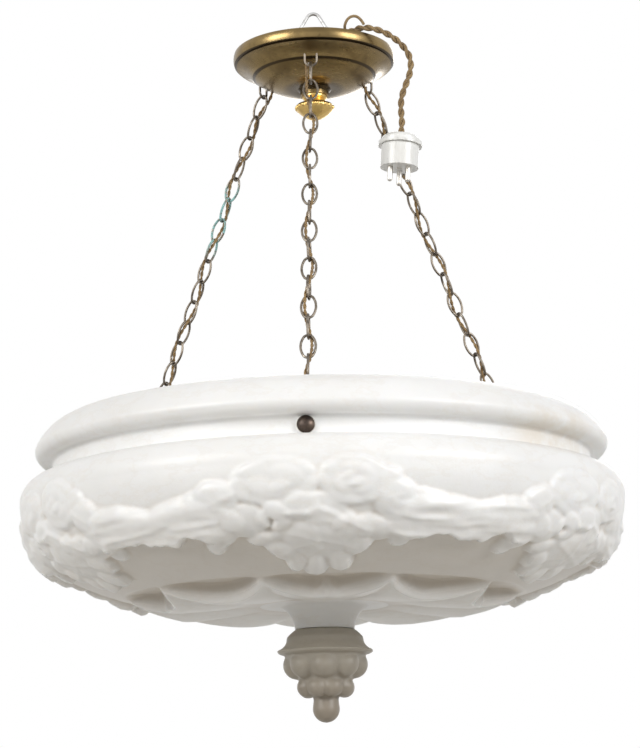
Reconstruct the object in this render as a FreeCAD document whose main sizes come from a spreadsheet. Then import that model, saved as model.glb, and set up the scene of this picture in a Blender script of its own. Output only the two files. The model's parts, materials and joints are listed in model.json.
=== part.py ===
import FreeCAD, Part
import math
import os
import Sketcher

# A carved alabaster bowl that hangs from a brass ceiling cup on three chains. Millimetres.
# The origin is the point under the top of the steel bail where a ceiling hook bears, and +Z is up.
# The bowl's axis, the cup's axis and the Z axis are one line. -Y is the front.

Vector = FreeCAD.Vector
UP = Vector(0, 0, 1)
SIDE = Vector(1, 0, 0)
BACK = Vector(0, 1, 0)
ORIGIN = Vector(0, 0, 0)

# Driving dimensions, kept in the document's spreadsheet. Angles are in degrees.
SIZES = {
    # steel bail and the strap that it hinges on
    "bail_wire": 3.0,
    "bail_rise": 36.0,
    "bail_top_radius": 4.5,
    "bail_bend": 4.0,
    "bail_spread": 66.0,
    "bail_pin_drop": 6.0,
    "bail_pin_end": 1.6,
    "hinge_clearance": 0.08,
    "strap_width": 16.0,
    "strap_thickness": 2.5,
    "strap_drop": 14.0,
    "strap_ear_margin": 5.0,
    # spun brass ceiling cup
    "cup_rim_radius": 68.3,
    "cup_band_bulge": 0.8,
    "cup_band_depth": 8.5,
    "cup_groove": 2.2,
    "cup_ridge_drop": 1.8,
    "cup_cove_radius": 14.0,
    "cup_step_radius": 52.8,
    "cup_step_depth": 19.5,
    "cup_step_size": 1.4,
    "cup_dome_curve": 56.0,
    "cup_dome_foot": 14.5,
    "cup_dome_depth": 31.3,
    "cup_neck_radius": 12.3,
    "cup_depth": 37.0,
    "cup_wall": 1.2,
    # stem, its nuts and the beaded knob under the cup
    "stem_radius": 5.0,
    "stem_top_spare": 2.0,
    "thread_clearance": 0.05,
    "seat_clearance": 0.1,
    "stem_nut_flats": 15.0,
    "stem_nut_height": 7.5,
    "knob_height": 21.0,
    "knob_collar_radius": 10.5,
    "knob_waist_radius": 8.5,
    "knob_ring_radius": 15.2,
    "knob_ring_height": 5.0,
    "knob_ring_drop": 8.0,
    "knob_tip_radius": 4.0,
    "knob_bead_radius": 1.85,
    "knob_beads": 24,
    # staple eyes under the cup
    "eye_wire": 2.0,
    "eye_circle": 53.0,
    "eye_bend": 5.0,
    "eye_drop": 28.0,
    "eye_leg_spare": 0.8,
    "eye_nut_flats": 4.0,
    "eye_nut_height": 1.6,
    "eye_hole_clearance": 0.06,
    # chains: the azimuth of the front one, and one link's form
    "front_chain_angle": 270.0,
    "chain_links": 19,
    "link_wire": 2.0,
    "link_width": 13.6,
    "link_end_bend": 4.2,
    "link_play": 0.15,
    "chain_end_play": 0.45,
    "chain_twist": 8.0,
    "chain_twist_links": 15.0,
    # flexes woven through the chains
    "flex_wire": 2.6,
    "flex_weave": 4.1,
    "flex_first_weave": 4.5,
    "flex_bend": 8.0,
    "flex_hole_circle": 46.0,
    "flex_hole_side": 4.0,
    "flex_hole_radius": 2.4,
    "flex_hole_drop": 0.5,
    "flex_gap": 0.9,
    "lead_circle": 43.5,
    "lead_bend": 9.0,
    # terminal block in the cup
    "block_length": 30.0,
    "block_width": 15.0,
    "block_height": 13.0,
    "block_circle": 30.0,
    "block_angle": 305.0,
    "block_seat": 0.3,
    "block_screw_radius": 1.9,
    "block_screw_height": 1.6,
    "block_screw_pitch": 8.0,
    # bowl, outside: lip, cove and turned body, each reach measured outward or inward from the
    # brim's inner edge, each drop measured down from the brim
    "brim_drop": 324.0,
    "brim_inner_radius": 207.0,
    "brim_width": 7.0,
    "lip_reach": 28.0,
    "lip_drop": 22.0,
    "lip_curve": 37.0,
    "lip_under": 9.0,
    "cove_wall": 13.5,
    "cove_height": 15.5,
    "shoulder_reach": 24.0,
    "body_reach": 39.7,
    "body_drop": 69.0,
    "shoulder_curve": 19.6,
    "haunch_reach": 15.0,
    "haunch_drop": 116.5,
    "haunch_curve": 62.0,
    "under_inset": 81.0,
    "under_drop": 146.5,
    "under_curve": 220.0,
    "boss_top_radius": 36.0,
    "boss_top_drop": 149.5,
    "boss_radius": 24.3,
    "boss_drop": 168.0,
    "boss_curve": 20.0,
    "bowl_hole": 5.0,
    # bowl, inside
    "throat_depth": 52.0,
    "belly_reach": 24.0,
    "belly_drop": 72.0,
    "belly_foot_reach": 3.0,
    "belly_foot_drop": 107.0,
    "belly_curve": 60.0,
    "floor_inset": 97.0,
    "floor_drop": 133.0,
    "floor_curve": 230.0,
    # carving: six garland clusters with swags between them and a rosette underneath
    "clusters": 6,
    "petals": 5,
    "petal_angle": 273.6,
    "carving_root": 5.0,
    "rose_aside": 8.5,
    "rose_fall": 43.0,
    "rose_radius": 21.5,
    "rose_height": 9.5,
    "bud_aside": 4.5,
    "bud_fall": 76.0,
    "bud_radius": 12.0,
    "bud_height": 7.5,
    "upper_bud_aside": 1.0,
    "upper_bud_fall": 66.0,
    "upper_bud_radius": 13.0,
    "upper_bud_height": 9.0,
    "leaf_fall": 98.0,
    "leaf_radius": 23.0,
    "leaf_height": 8.5,
    "low_leaf_aside": 8.8,
    "low_leaf_fall": 108.0,
    "low_leaf_radius": 16.0,
    "low_leaf_height": 7.0,
    "tip_leaf_aside": 1.5,
    "tip_leaf_fall": 136.0,
    "tip_leaf_radius": 14.0,
    "tip_leaf_height": 5.0,
    "side_leaf_aside": 16.5,
    "side_leaf_fall": 72.0,
    "side_leaf_radius": 17.0,
    "side_leaf_height": 7.5,
    "swag_radius": 12.0,
    "swag_inset": 21.2,
    "swag_end_drop": 107.0,
    "swag_middle_drop": 112.0,
    "swag_reach": 17.0,
    "petal_radius": 49.0,
    "petal_circle": 77.0,
    "petal_drop": 153.5,
    "small_petal_radius": 28.0,
    "small_petal_circle": 101.0,
    "small_petal_drop": 150.5,
    "petal_root": 10.0,
    # rim bolts and the brackets inside the bowl
    "bolt_drop": 38.5,
    "bolt_head_radius": 6.6,
    "bolt_head_height": 4.2,
    "bolt_head_edge": 0.8,
    "bolt_radius": 3.0,
    "bolt_hole_clearance": 0.5,
    "bolt_spare": 3.0,
    "rim_washer_radius": 7.1,
    "rim_washer_thickness": 0.8,
    "rim_nut_flats": 10.0,
    "rim_nut_height": 5.0,
    "bracket_width": 20.0,
    "bracket_thickness": 2.0,
    "bracket_top_rise": 17.0,
    "bracket_foot_drop": 37.0,
    "bracket_gap": 0.3,
    "holder_drop": 26.0,
    # clevis that the chain's last link hangs on
    "hook_reach": 7.7,
    "hook_drop": 28.0,
    "pin_radius": 1.5,
    "pin_head_radius": 2.6,
    "pin_head_height": 1.2,
    "ear_gap": 14.0,
    "ear_thickness": 2.0,
    "ear_reach": 5.0,
    "ear_height": 12.0,
    # bayonet lampholders
    "nipple_radius": 5.0,
    "nipple_nut_flats": 15.0,
    "nipple_nut_height": 3.0,
    "holder_cap_radius": 13.0,
    "holder_cap_length": 26.0,
    "holder_wall": 1.0,
    "socket_radius": 11.15,
    "skirt_wall": 0.8,
    "skirt_length": 26.0,
    "slot_width": 2.8,
    "slot_length": 9.0,
    "shade_ring_radius": 17.5,
    "shade_ring_length": 6.0,
    "shade_ring_setback": 13.0,
    "core_length": 15.0,
    "core_step": 0.4,
    "socket_depth": 18.5,
    "plunger_radius": 1.6,
    "plunger_pitch": 9.0,
    "plunger_proud": 3.5,
    "plunger_length": 12.0,
    "plunger_travel": 2.5,
    "lead_entry_radius": 2.2,
    # alabaster finial on its rod
    "finial_lip_radius": 39.6,
    "finial_lip_drop": 17.0,
    "finial_ring_radius": 31.3,
    "finial_length": 75.0,
    "finial_core_radius": 24.0,
    "tier_lobes": 8,
    "upper_tier_radius": 34.5,
    "upper_tier_drop": 28.5,
    "upper_lobe_radius": 11.5,
    "lower_tier_radius": 24.4,
    "lower_tier_drop": 46.5,
    "lower_lobe_radius": 8.5,
    "finial_tip_radius": 11.0,
    "finial_rod_radius": 4.0,
    "finial_rod_reach": 44.0,
    "finial_rod_spare": 4.0,
    "finial_washer_radius": 18.0,
    "finial_washer_thickness": 2.0,
    "finial_nut_flats": 13.0,
    "finial_nut_height": 6.5,
    # supply flex and its plug
    "supply_wire": 5.6,
    "plug_lean": 4.0,
    "plug_entry": 1.2,
    "plug_entry_clearance": 0.25,
    "plug_cap_radius": 16.0,
    "plug_cap_height": 9.0,
    "plug_cap_crown": 2.5,
    "plug_flange_radius": 18.2,
    "plug_flange_height": 3.2,
    "plug_body_radius": 15.8,
    "plug_body_height": 19.0,
    "plug_lug_width": 6.0,
    "plug_lug_height": 2.0,
    "plug_pin_radius": 2.2,
    "plug_pin_length": 13.0,
    "plug_pin_root": 6.0,
    "plug_pin_circle": 8.5,
    "plug_screw_radius": 2.2,
}

doc = FreeCAD.newDocument("AlabasterPendant")
sheet = doc.addObject("Spreadsheet::Sheet", "Sizes")
for row, (alias, number) in enumerate(SIZES.items(), start=1):
    sheet.set(f"A{row}", alias)
    sheet.set(f"B{row}", str(number))
    sheet.setAlias(f"B{row}", alias)
doc.recompute()


class Size:
    """A number and the spreadsheet expression that it is worked out from."""

    def __init__(self, number, text):
        self.number = float(number)
        self.text = text

    def joined(self, other, sign, number):
        text = other.text if isinstance(other, Size) else repr(other)
        return Size(number, f"({self.text} {sign} {text})")

    def __add__(self, other):
        return self.joined(other, "+", self.number + float(other))

    def __sub__(self, other):
        return self.joined(other, "-", self.number - float(other))

    def __mul__(self, other):
        return self.joined(other, "*", self.number * float(other))

    def __truediv__(self, other):
        return self.joined(other, "/", self.number / float(other))

    def __neg__(self):
        return Size(-self.number, f"(-1 * {self.text})")

    def __float__(self):
        return self.number


class Sheet:
    """The spreadsheet's cells, each as a Size under its alias."""

    def __getattr__(self, alias):
        return Size(sheet.get(alias), f"Sizes.{alias}")


S = Sheet()
ZERO = Size(0, "0")

# Heights and places that several pieces share
CUP_RIM = -S.bail_rise
CUP_BOTTOM = CUP_RIM - S.cup_depth
BAIL_PIN = CUP_RIM - S.bail_pin_drop
STRAP_TOP = CUP_RIM - S.strap_drop
STRAP_BOTTOM = STRAP_TOP - S.strap_thickness
EYE = CUP_RIM - S.eye_drop
BRIM = CUP_RIM - S.brim_drop
BOLT = BRIM - S.bolt_drop
HOOK = BRIM - S.hook_drop
HOLDER = BOLT - S.holder_drop
BOSS = BRIM - S.boss_drop
PLATE_OUT = S.brim_inner_radius - S.bracket_gap
PLATE_IN = PLATE_OUT - S.bracket_thickness
HOOK_RADIUS = PLATE_IN - S.hook_reach
LIP = S.brim_inner_radius + S.lip_reach
COVE = S.brim_inner_radius + S.cove_wall
BODY = S.brim_inner_radius + S.body_reach
STATIONS = ("front", "right", "left")

kept = {}


def keep(piece, name):
    """Label a finished sub-part; its label names its file."""
    piece.Label = name
    kept[name] = piece
    return piece


def turn(angle):
    """Rotation about the Z axis by an angle in degrees."""
    return FreeCAD.Placement(ORIGIN, FreeCAD.Rotation(UP, float(angle)))


def station_angle(station):
    """Azimuth of a chain's plane, in degrees: front, then each 120 degrees on."""
    return float(S.front_chain_angle) + 120.0 * STATIONS.index(station)


def moved(shape, placement):
    """A copy of a shape under one more placement."""
    copy = shape.copy()
    copy.Placement = placement.multiply(shape.Placement)
    return copy


def feature(name, shape, placement=None):
    """A plain object that holds a shape."""
    piece = doc.addObject("Part::Feature", name)
    piece.Shape = shape
    if placement is not None:
        piece.Placement = placement
    return piece


def group(name, shapes, placement=None):
    """One kept node made of separate identical solids."""
    return keep(feature(name, Part.makeCompound(shapes), placement), name)


# ---- parametric primitives, bound to the sheet ----


def cylinder(name, radius, height, base=ZERO):
    """An upright cylinder whose base is at a height on the Z axis."""
    piece = doc.addObject("Part::Cylinder", name)
    piece.setExpression("Radius", radius.text)
    piece.setExpression("Height", height.text)
    piece.setExpression("Placement.Base.z", base.text)
    return piece


def hexagon(name, flats, height, base=ZERO):
    """An upright hexagonal prism, by its size across the flats."""
    piece = doc.addObject("Part::Prism", name)
    piece.Polygon = 6
    piece.setExpression("Circumradius", f"{flats.text} / 2 / cos(30)")
    piece.setExpression("Height", height.text)
    piece.setExpression("Placement.Base.z", base.text)
    return piece


def cut(name, base, tool):
    """One object less another."""
    piece = doc.addObject("Part::Cut", name)
    piece.Base = base
    piece.Tool = tool
    return piece


def nut(name, flats, height, bore, base=ZERO):
    """A hexagon nut on the Z axis, bored for its bolt with the thread's clearance."""
    blank = hexagon(name + "_blank", flats, height, base)
    hole = cylinder(name + "_hole", bore + S.thread_clearance, height, base)
    return cut(name, blank, hole)


def washer(name, radius, thickness, bore, base=ZERO):
    """A flat washer on the Z axis."""
    blank = cylinder(name + "_blank", radius, thickness, base)
    hole = cylinder(name + "_hole", bore, thickness, base)
    return cut(name, blank, hole)


# ---- turned pieces: a sketch of the half section, revolved about Z ----


def arc_middle(start, end, radius, side):
    """The middle point of an arc between two (r, z) points; side is 1 or -1."""
    ax, az, bx, bz = float(start[0]), float(start[1]), float(end[0]), float(end[1])
    half = math.hypot(bx - ax, bz - az) / 2
    rise = float(radius) - math.sqrt(float(radius) ** 2 - half**2)
    nx, nz = (bz - az) / (2 * half), -(bx - ax) / (2 * half)
    return Vector((ax + bx) / 2 + side * rise * nx, (az + bz) / 2 + side * rise * nz, 0)


def short_arc(a, b, radius, side):
    """The short arc between two points, and whether it runs counter-clockwise from a to b."""
    middle = arc_middle((a.x, a.y), (b.x, b.y), radius, side)
    chord_middle = (a + b) / 2
    centre = middle + (chord_middle - middle).normalize() * radius
    forward = (a - centre).cross(b - centre).z > 0
    first, last = (a, b) if forward else (b, a)
    start = math.atan2(first.y - centre.y, first.x - centre.x)
    end = math.atan2(last.y - centre.y, last.x - centre.x)
    if end < start:
        end += 2 * math.pi
    return Part.ArcOfCircle(Part.Circle(centre, UP, radius), start, end), forward


def arc_height(start, end, radius):
    """Height of the arc between two outline corners at a radius from the Z axis."""
    a = Vector(float(start[0]), float(start[1]), 0)
    b = Vector(float(end[0]), float(end[1]), 0)
    arc, _ = short_arc(a, b, float(start[2]), start[3])
    rise = math.sqrt(arc.Radius**2 - (radius - arc.Center.x) ** 2)
    return arc.Center.y + math.copysign(rise, (a.y + b.y) / 2 - arc.Center.y)


def outline_sketch(body, outline):
    """Draw a closed outline on the XZ plane and bind every corner and radius.

    Each entry is (r, z) or (r, z, radius, side) for an arc that runs to the next corner.
    """
    sketch = body.newObject("Sketcher::SketchObject", body.Name + "_outline")
    planes = [f for f in body.Origin.OriginFeatures if f.Role == "XZ_Plane"]
    sketch.AttachmentSupport = (planes[0], "")
    sketch.MapMode = "FlatFace"
    starts = []
    for index, corner in enumerate(outline):
        following = outline[(index + 1) % len(outline)]
        a = Vector(float(corner[0]), float(corner[1]), 0)
        b = Vector(float(following[0]), float(following[1]), 0)
        if len(corner) == 2:
            sketch.addGeometry(Part.LineSegment(a, b), False)
            starts.append((index, 1, 2))
        else:
            arc, forward = short_arc(a, b, float(corner[2]), corner[3])
            sketch.addGeometry(arc, False)
            starts.append((index, 1, 2) if forward else (index, 2, 1))
    for index, corner in enumerate(outline):
        geometry, start, _ = starts[index]
        before, _, last = starts[index - 1]
        sketch.addConstraint(Sketcher.Constraint("Coincident", before, last, geometry, start))
        for kind, size in (("DistanceX", corner[0]), ("DistanceY", corner[1])):
            place = sketch.addConstraint(
                Sketcher.Constraint(kind, -1, 1, geometry, start, float(size))
            )
            if size is not ZERO:
                sketch.setExpression(f"Constraints[{place}]", size.text)
        if len(corner) == 4:
            place = sketch.addConstraint(
                Sketcher.Constraint("Radius", geometry, float(corner[2]))
            )
            sketch.setExpression(f"Constraints[{place}]", corner[2].text)
    return sketch


def turned(name, outline):
    """A PartDesign body: the outline turned a full circle about the Z axis."""
    body = doc.addObject("PartDesign::Body", name)
    sketch = outline_sketch(body, outline)
    revolution = body.newObject("PartDesign::Revolution", name + "_turning")
    revolution.Profile = sketch
    revolution.ReferenceAxis = (sketch, ["V_Axis"])
    revolution.Angle = 360.0
    sketch.Visibility = False
    return body


# ---- round bars and flexes: straight runs joined by tangent arcs ----


def route(points, bends):
    """A wire of straight runs and tangent arcs, with one bend radius per inner point."""
    edges = []
    start = points[0]
    for before, corner, after, bend in zip(points, points[1:], points[2:], bends):
        inward = (before - corner).normalize()
        outward = (after - corner).normalize()
        half = (math.pi - inward.getAngle(outward)) / 2
        reach = bend * math.tan(half)
        first, last = corner + inward * reach, corner + outward * reach
        bisector = (inward + outward).normalize()
        middle = corner + bisector * (bend / math.cos(half) - bend)
        edges.append(Part.LineSegment(start, first).toShape())
        edges.append(Part.Arc(first, middle, last).toShape())
        start = last
    edges.append(Part.LineSegment(start, points[-1]).toShape())
    return Part.Wire(edges)


def bar(points, bends, radius):
    """A round bar or flex along a route."""
    spine = route(points, bends)
    section = Part.Wire(Part.makeCircle(radius, points[0], points[1] - points[0]))
    return spine.makePipeShell([section], True, False)


def cord_bends(points, limit=None):
    """Bend radii as large as the runs allow: 0.45 of the shorter run over tan(half turn)."""
    radii = []
    for before, corner, after in zip(points, points[1:], points[2:]):
        half = (math.pi - (before - corner).getAngle(after - corner)) / 2
        shorter = min(before.distanceToPoint(corner), after.distanceToPoint(corner))
        radius = 0.45 * shorter / math.tan(half)
        radii.append(radius if limit is None else min(radius, limit))
    return radii


# ---- bail, strap, stem and knob ----


def make_bail():
    """The steel wire bail: a narrow top bend, splayed legs and two hinge pins."""
    wire = float(S.bail_wire) / 2
    top = float(S.bail_top_radius) + wire
    foot = Vector(float(S.bail_spread) / 2 - float(S.bail_bend), 0, float(BAIL_PIN))
    centre = Vector(0, 0, -float(S.bail_top_radius))
    to_foot = foot - centre
    lean = math.atan2(to_foot.x, -to_foot.z) - math.asin(top / to_foot.Length)
    tangent = centre + Vector(math.cos(lean), 0, math.sin(lean)) * top
    leg = (foot - tangent).normalize()
    end = Vector(float(S.bail_spread + S.strap_thickness) / 2 + float(S.bail_pin_end), 0, foot.z)
    half = (math.pi - (-leg).getAngle(SIDE)) / 2
    reach = float(S.bail_bend) * math.tan(half)
    bend_in, bend_out = foot - leg * reach, foot + SIDE * reach
    inward = (SIDE - leg).normalize()
    middle = foot + inward * (float(S.bail_bend) / math.cos(half) - float(S.bail_bend))

    def mirrored(point):
        return Vector(-point.x, point.y, point.z)

    edges = [
        Part.LineSegment(mirrored(end), mirrored(bend_out)).toShape(),
        Part.Arc(mirrored(bend_out), mirrored(middle), mirrored(bend_in)).toShape(),
        Part.LineSegment(mirrored(bend_in), mirrored(tangent)).toShape(),
        Part.Arc(mirrored(tangent), centre + UP * top, tangent).toShape(),
        Part.LineSegment(tangent, bend_in).toShape(),
        Part.Arc(bend_in, middle, bend_out).toShape(),
        Part.LineSegment(bend_out, end).toShape(),
    ]
    section = Part.Wire(Part.makeCircle(wire, mirrored(end), SIDE))
    shape = Part.Wire(edges).makePipeShell([section], True, False)
    keep(feature("suspension_bail", shape), "suspension_bail")


def make_strap():
    """The flat steel strap across the cup, with an upturned ear at each end for the bail."""
    body = doc.addObject("PartDesign::Body", "hook_strap")
    half, thick = S.bail_spread / 2, S.strap_thickness
    ear_top = BAIL_PIN + S.strap_ear_margin
    outer, inner = half + thick / 2, half - thick / 2
    outline = [
        (-outer, STRAP_BOTTOM), (outer, STRAP_BOTTOM), (outer, ear_top), (inner, ear_top),
        (inner, STRAP_TOP), (-inner, STRAP_TOP), (-inner, ear_top), (-outer, ear_top),
    ]
    sketch = outline_sketch(body, outline)
    pad = body.newObject("PartDesign::Pad", "hook_strap_pad")
    pad.Profile = sketch
    pad.setExpression("Length", S.strap_width.text)
    pad.Midplane = True
    pin_hole = cylinder("hook_strap_pin_hole", S.bail_wire / 2 + S.hinge_clearance, S.bail_spread * 2)
    pin_hole.Placement.Rotation = FreeCAD.Rotation(BACK, 90)
    pin_hole.setExpression("Placement.Base.x", (-S.bail_spread).text)
    pin_hole.setExpression("Placement.Base.z", BAIL_PIN.text)
    stem_hole = cylinder(
        "hook_strap_stem_hole", S.stem_radius + S.thread_clearance, S.strap_thickness, STRAP_BOTTOM
    )
    drilled = cut("hook_strap_drilled", body, pin_hole)
    keep(cut("hook_strap_cut", drilled, stem_hole), "hook_strap")


def make_stem():
    """The threaded stem from the strap down into the knob, and its three nuts."""
    knob_thread = S.knob_height * 0.8
    bottom = CUP_BOTTOM - knob_thread
    top = STRAP_TOP + S.stem_nut_height + S.stem_top_spare
    keep(cylinder("stem", S.stem_radius, top - bottom, bottom), "centre_stem")
    floor = CUP_BOTTOM + S.cup_wall
    places = (floor, STRAP_BOTTOM - S.stem_nut_height, STRAP_TOP)
    nuts = [
        nut(f"stem_nut_{i}", S.stem_nut_flats, S.stem_nut_height, S.stem_radius, z)
        for i, z in enumerate(places)
    ]
    doc.recompute()
    group("stem_nuts", [piece.Shape for piece in nuts])


def make_knob():
    """The cast brass knob nut that holds the cup up: a beaded ring over a domed tip."""
    top = CUP_BOTTOM - S.seat_clearance
    ring_top = top - S.knob_ring_drop
    ring_bottom = ring_top - S.knob_ring_height
    bottom = top - S.knob_height
    bore = S.stem_radius + S.thread_clearance
    bore_end = CUP_BOTTOM - S.knob_height * 0.8 - S.seat_clearance
    outline = [
        (bore, top),
        (S.knob_collar_radius, top),
        (S.knob_collar_radius, top - 1.5, S.knob_ring_drop, -1),
        (S.knob_waist_radius, top - 3.5, S.knob_ring_drop, 1),
        (S.knob_ring_radius, ring_top, S.knob_ring_height * 0.75, -1),
        (S.knob_ring_radius - 0.4, ring_bottom, S.knob_height * 1.3, -1),
        (S.knob_tip_radius, bottom + 0.6, S.knob_tip_radius * 1.6, -1),
        (ZERO, bottom),
        (ZERO, bore_end),
        (bore, bore_end),
    ]
    knob = turned("knob_turning", outline)
    doc.recompute()
    bead_height = float(ring_top + ring_bottom) / 2
    beads = []
    count = int(float(S.knob_beads))
    for i in range(count):
        angle = 2 * math.pi * (i + 0.5) / count
        radius = float(S.knob_ring_radius)
        place = Vector(radius * math.cos(angle), radius * math.sin(angle), bead_height)
        beads.append(Part.makeSphere(float(S.knob_bead_radius), place))
    keep(feature("knob_nut", knob.Shape.multiFuse(beads)), "beaded_knob_nut")


# ---- ceiling cup, eyes ----


def cup_outline():
    """Half section of the spun cup: rolled rim band, cove, step, shallow dome and neck."""
    rim, wall = S.cup_rim_radius, S.cup_wall
    band_foot = CUP_RIM - S.cup_band_depth
    band_curve = S.cup_band_depth * 1.5
    ridge = rim - S.cup_groove + 0.3
    ridge_top = band_foot - S.cup_ridge_drop
    step = CUP_RIM - S.cup_step_depth
    dome_top = step - 0.8
    dome_foot = CUP_RIM - S.cup_dome_depth
    neck_top = dome_foot - S.cup_wall * 2
    hole = S.stem_radius + S.thread_clearance
    return [
        (rim, CUP_RIM, band_curve, -1),
        (rim, band_foot),
        (rim - S.cup_groove, band_foot - 0.8),
        (ridge, ridge_top, S.cup_cove_radius * 1.6, 1),
        (S.cup_step_radius, step),
        (S.cup_step_radius - S.cup_step_size, dome_top, S.cup_dome_curve, -1),
        (S.cup_dome_foot, dome_foot),
        (S.cup_neck_radius, neck_top),
        (S.cup_neck_radius, CUP_BOTTOM),
        (hole, CUP_BOTTOM),
        (hole, CUP_BOTTOM + wall),
        (S.cup_neck_radius - wall, CUP_BOTTOM + wall),
        (S.cup_neck_radius - wall, neck_top),
        (S.cup_dome_foot - wall, dome_foot + wall, S.cup_dome_curve - wall, 1),
        (S.cup_step_radius - S.cup_step_size - wall * 0.8, dome_top + wall),
        (S.cup_step_radius - wall * 0.6, step + wall, S.cup_cove_radius * 1.6 + wall, -1),
        (ridge - wall, ridge_top + wall * 0.8),
        (rim - wall, band_foot),
        (rim - wall, CUP_RIM),
    ]


def make_cup():
    """The cup, with a pair of staple holes and a flex hole for each chain."""
    cup = turned("cup_turning", cup_outline())
    doc.recompute()
    tools = []
    high = float(S.cup_depth)
    for station in STATIONS:
        place = turn(station_angle(station))
        for side in (-1, 1):
            foot = Vector(float(S.eye_circle), side * float(S.eye_bend), float(CUP_BOTTOM))
            hole = Part.makeCylinder(float(S.eye_wire / 2 + S.eye_hole_clearance), high, foot)
            tools.append(moved(hole, place))
        foot = Vector(float(S.flex_hole_circle), -float(S.flex_hole_side), float(CUP_BOTTOM))
        tools.append(moved(Part.makeCylinder(float(S.flex_hole_radius), high, foot), place))
    keep(feature("cup", cup.Shape.cut(tools)), "ceiling_cup")


def make_eyes():
    """Three staple eyes through the cup's step, and a nut on each leg."""
    bend, wire = float(S.eye_bend), float(S.eye_wire) / 2
    circle, low = float(S.eye_circle), float(EYE)
    nut_reach = math.hypot(circle, bend) + float(S.eye_nut_flats) / 2 / math.cos(math.pi / 6)
    outline = cup_outline()
    cove = arc_height(outline[15], outline[16], nut_reach)
    seat = Size(cove, repr(cove)) + S.seat_clearance
    high = float(seat + S.eye_nut_height + S.eye_leg_spare)
    shoulder = low + bend
    edges = [
        Part.LineSegment(Vector(circle, -bend, high), Vector(circle, -bend, shoulder)).toShape(),
        Part.Arc(
            Vector(circle, -bend, shoulder), Vector(circle, 0, low), Vector(circle, bend, shoulder)
        ).toShape(),
        Part.LineSegment(Vector(circle, bend, shoulder), Vector(circle, bend, high)).toShape(),
    ]
    section = Part.Wire(Part.makeCircle(wire, Vector(circle, -bend, high), UP))
    eye = Part.Wire(edges).makePipeShell([section], True, False)
    small = nut("eye_nut", S.eye_nut_flats, S.eye_nut_height, S.eye_wire / 2, seat)
    doc.recompute()
    nuts = []
    for station in STATIONS:
        for side in (-1, 1):
            shift = FreeCAD.Placement(Vector(circle, side * bend, 0), FreeCAD.Rotation())
            nuts.append(moved(moved(small.Shape, shift), turn(station_angle(station))))
    group("cup_eyes", [moved(eye, turn(station_angle(s))) for s in STATIONS])
    group("eye_nuts", nuts)


# ---- chains ----


def chain_frame(station):
    """Start point, and the along, outward and sideways directions of a chain, at rest."""
    place = turn(station_angle(station))
    start = Vector(float(S.eye_circle), 0, float(EYE))
    end = Vector(float(HOOK_RADIUS), 0, float(HOOK))
    along = (end - start).normalize()
    outward = Vector(-along.z, 0, along.x)
    spin = place.Rotation
    return place.multVec(start), spin.multVec(along), spin.multVec(outward), spin.multVec(BACK)


def chain_length():
    """From the eye's wire to the clevis pin, centre to centre."""
    return math.hypot(float(HOOK_RADIUS - S.eye_circle), float(EYE - HOOK))


def link_pitch():
    """Inside length of a link less its play: the chain is as long as its end points need."""
    pulled = chain_length() + float(S.eye_wire / 2 + S.pin_radius)
    return (pulled + float(S.chain_end_play)) / float(S.chain_links)


def link_twist(number):
    """How far a link is turned out of square, in degrees: the chain winds to and fro."""
    turns = 2 * math.pi * number / float(S.chain_twist_links)
    return float(S.chain_twist) * math.sin(turns)


def link_shape():
    """One oval link of four arcs, its length along X and its width along Y."""
    wire = float(S.link_wire) / 2
    long = (link_pitch() + float(S.link_play)) / 2 + wire
    wide = float(S.link_width) / 2 - wire
    end = float(S.link_end_bend)
    side = (long**2 + wide**2 - 2 * long * end) / (2 * (wide - end))
    slope = math.atan2(side - wide, long - end)
    knee = Vector(long - end + end * math.cos(slope), end * math.sin(slope), 0)
    corners = [
        knee, Vector(-knee.x, knee.y, 0), Vector(-knee.x, -knee.y, 0), Vector(knee.x, -knee.y, 0),
    ]
    middles = [Vector(0, wide, 0), Vector(-long, 0, 0), Vector(0, -wide, 0), Vector(long, 0, 0)]
    edges = [
        Part.Arc(corners[i], middles[i], corners[(i + 1) % 4]).toShape() for i in range(4)
    ]
    section = Part.Wire(Part.makeCircle(wire, corners[0], Vector(corners[0].y - 0, 0, 0)))
    start = edges[0]
    tangent = start.tangentAt(start.FirstParameter)
    section = Part.Wire(Part.makeCircle(wire, start.valueAt(start.FirstParameter), tangent))
    return Part.Wire(edges).makePipeShell([section], True, False)


def link_place(station, number):
    """Where a link lies: every other link is turned by a right angle, plus the twist."""
    start, along, outward, sideways = chain_frame(station)
    first = link_pitch() / 2 - float(S.eye_wire / 2) - float(S.link_play) / 2
    centre = start + along * (first + number * link_pitch())
    angle = math.radians(90.0 * (number % 2) + link_twist(number))
    across = outward * math.cos(angle) + sideways * math.sin(angle)
    normal = along.cross(across)
    rotation = FreeCAD.Rotation(along, across, normal, "XYZ")
    return FreeCAD.Placement(centre, rotation)


def make_chains():
    """Three chains, each one node of separate links."""
    link = link_shape()
    count = int(float(S.chain_links))
    for station in STATIONS:
        links = [moved(link, link_place(station, number)) for number in range(count)]
        group(f"chain_{station}", links)


# ---- flexes ----


def weave_points(station):
    """The flex's corners at the joints between links, a quarter turn on at each joint."""
    start, along, outward, sideways = chain_frame(station)
    points = []
    for number in range(int(float(S.chain_links)) - 1):
        twist = (link_twist(number) + link_twist(number + 1)) / 2
        angle = math.radians(315.0 - 90.0 * number + twist)
        distance = link_pitch() * (number + 1) - float(S.eye_wire / 2)
        aside = outward * math.cos(angle) + sideways * math.sin(angle)
        wide = float(S.flex_first_weave if number == 0 else S.flex_weave)
        points.append(start + along * distance + aside * wide)
    return points


def flex_end_place():
    """Where a chain's flex ends, in the chain's own plane: inside and beside the last link."""
    return Vector(float(HOOK_RADIUS) - 12.0, -6.0, float(HOOK) + 5.5)


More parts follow.
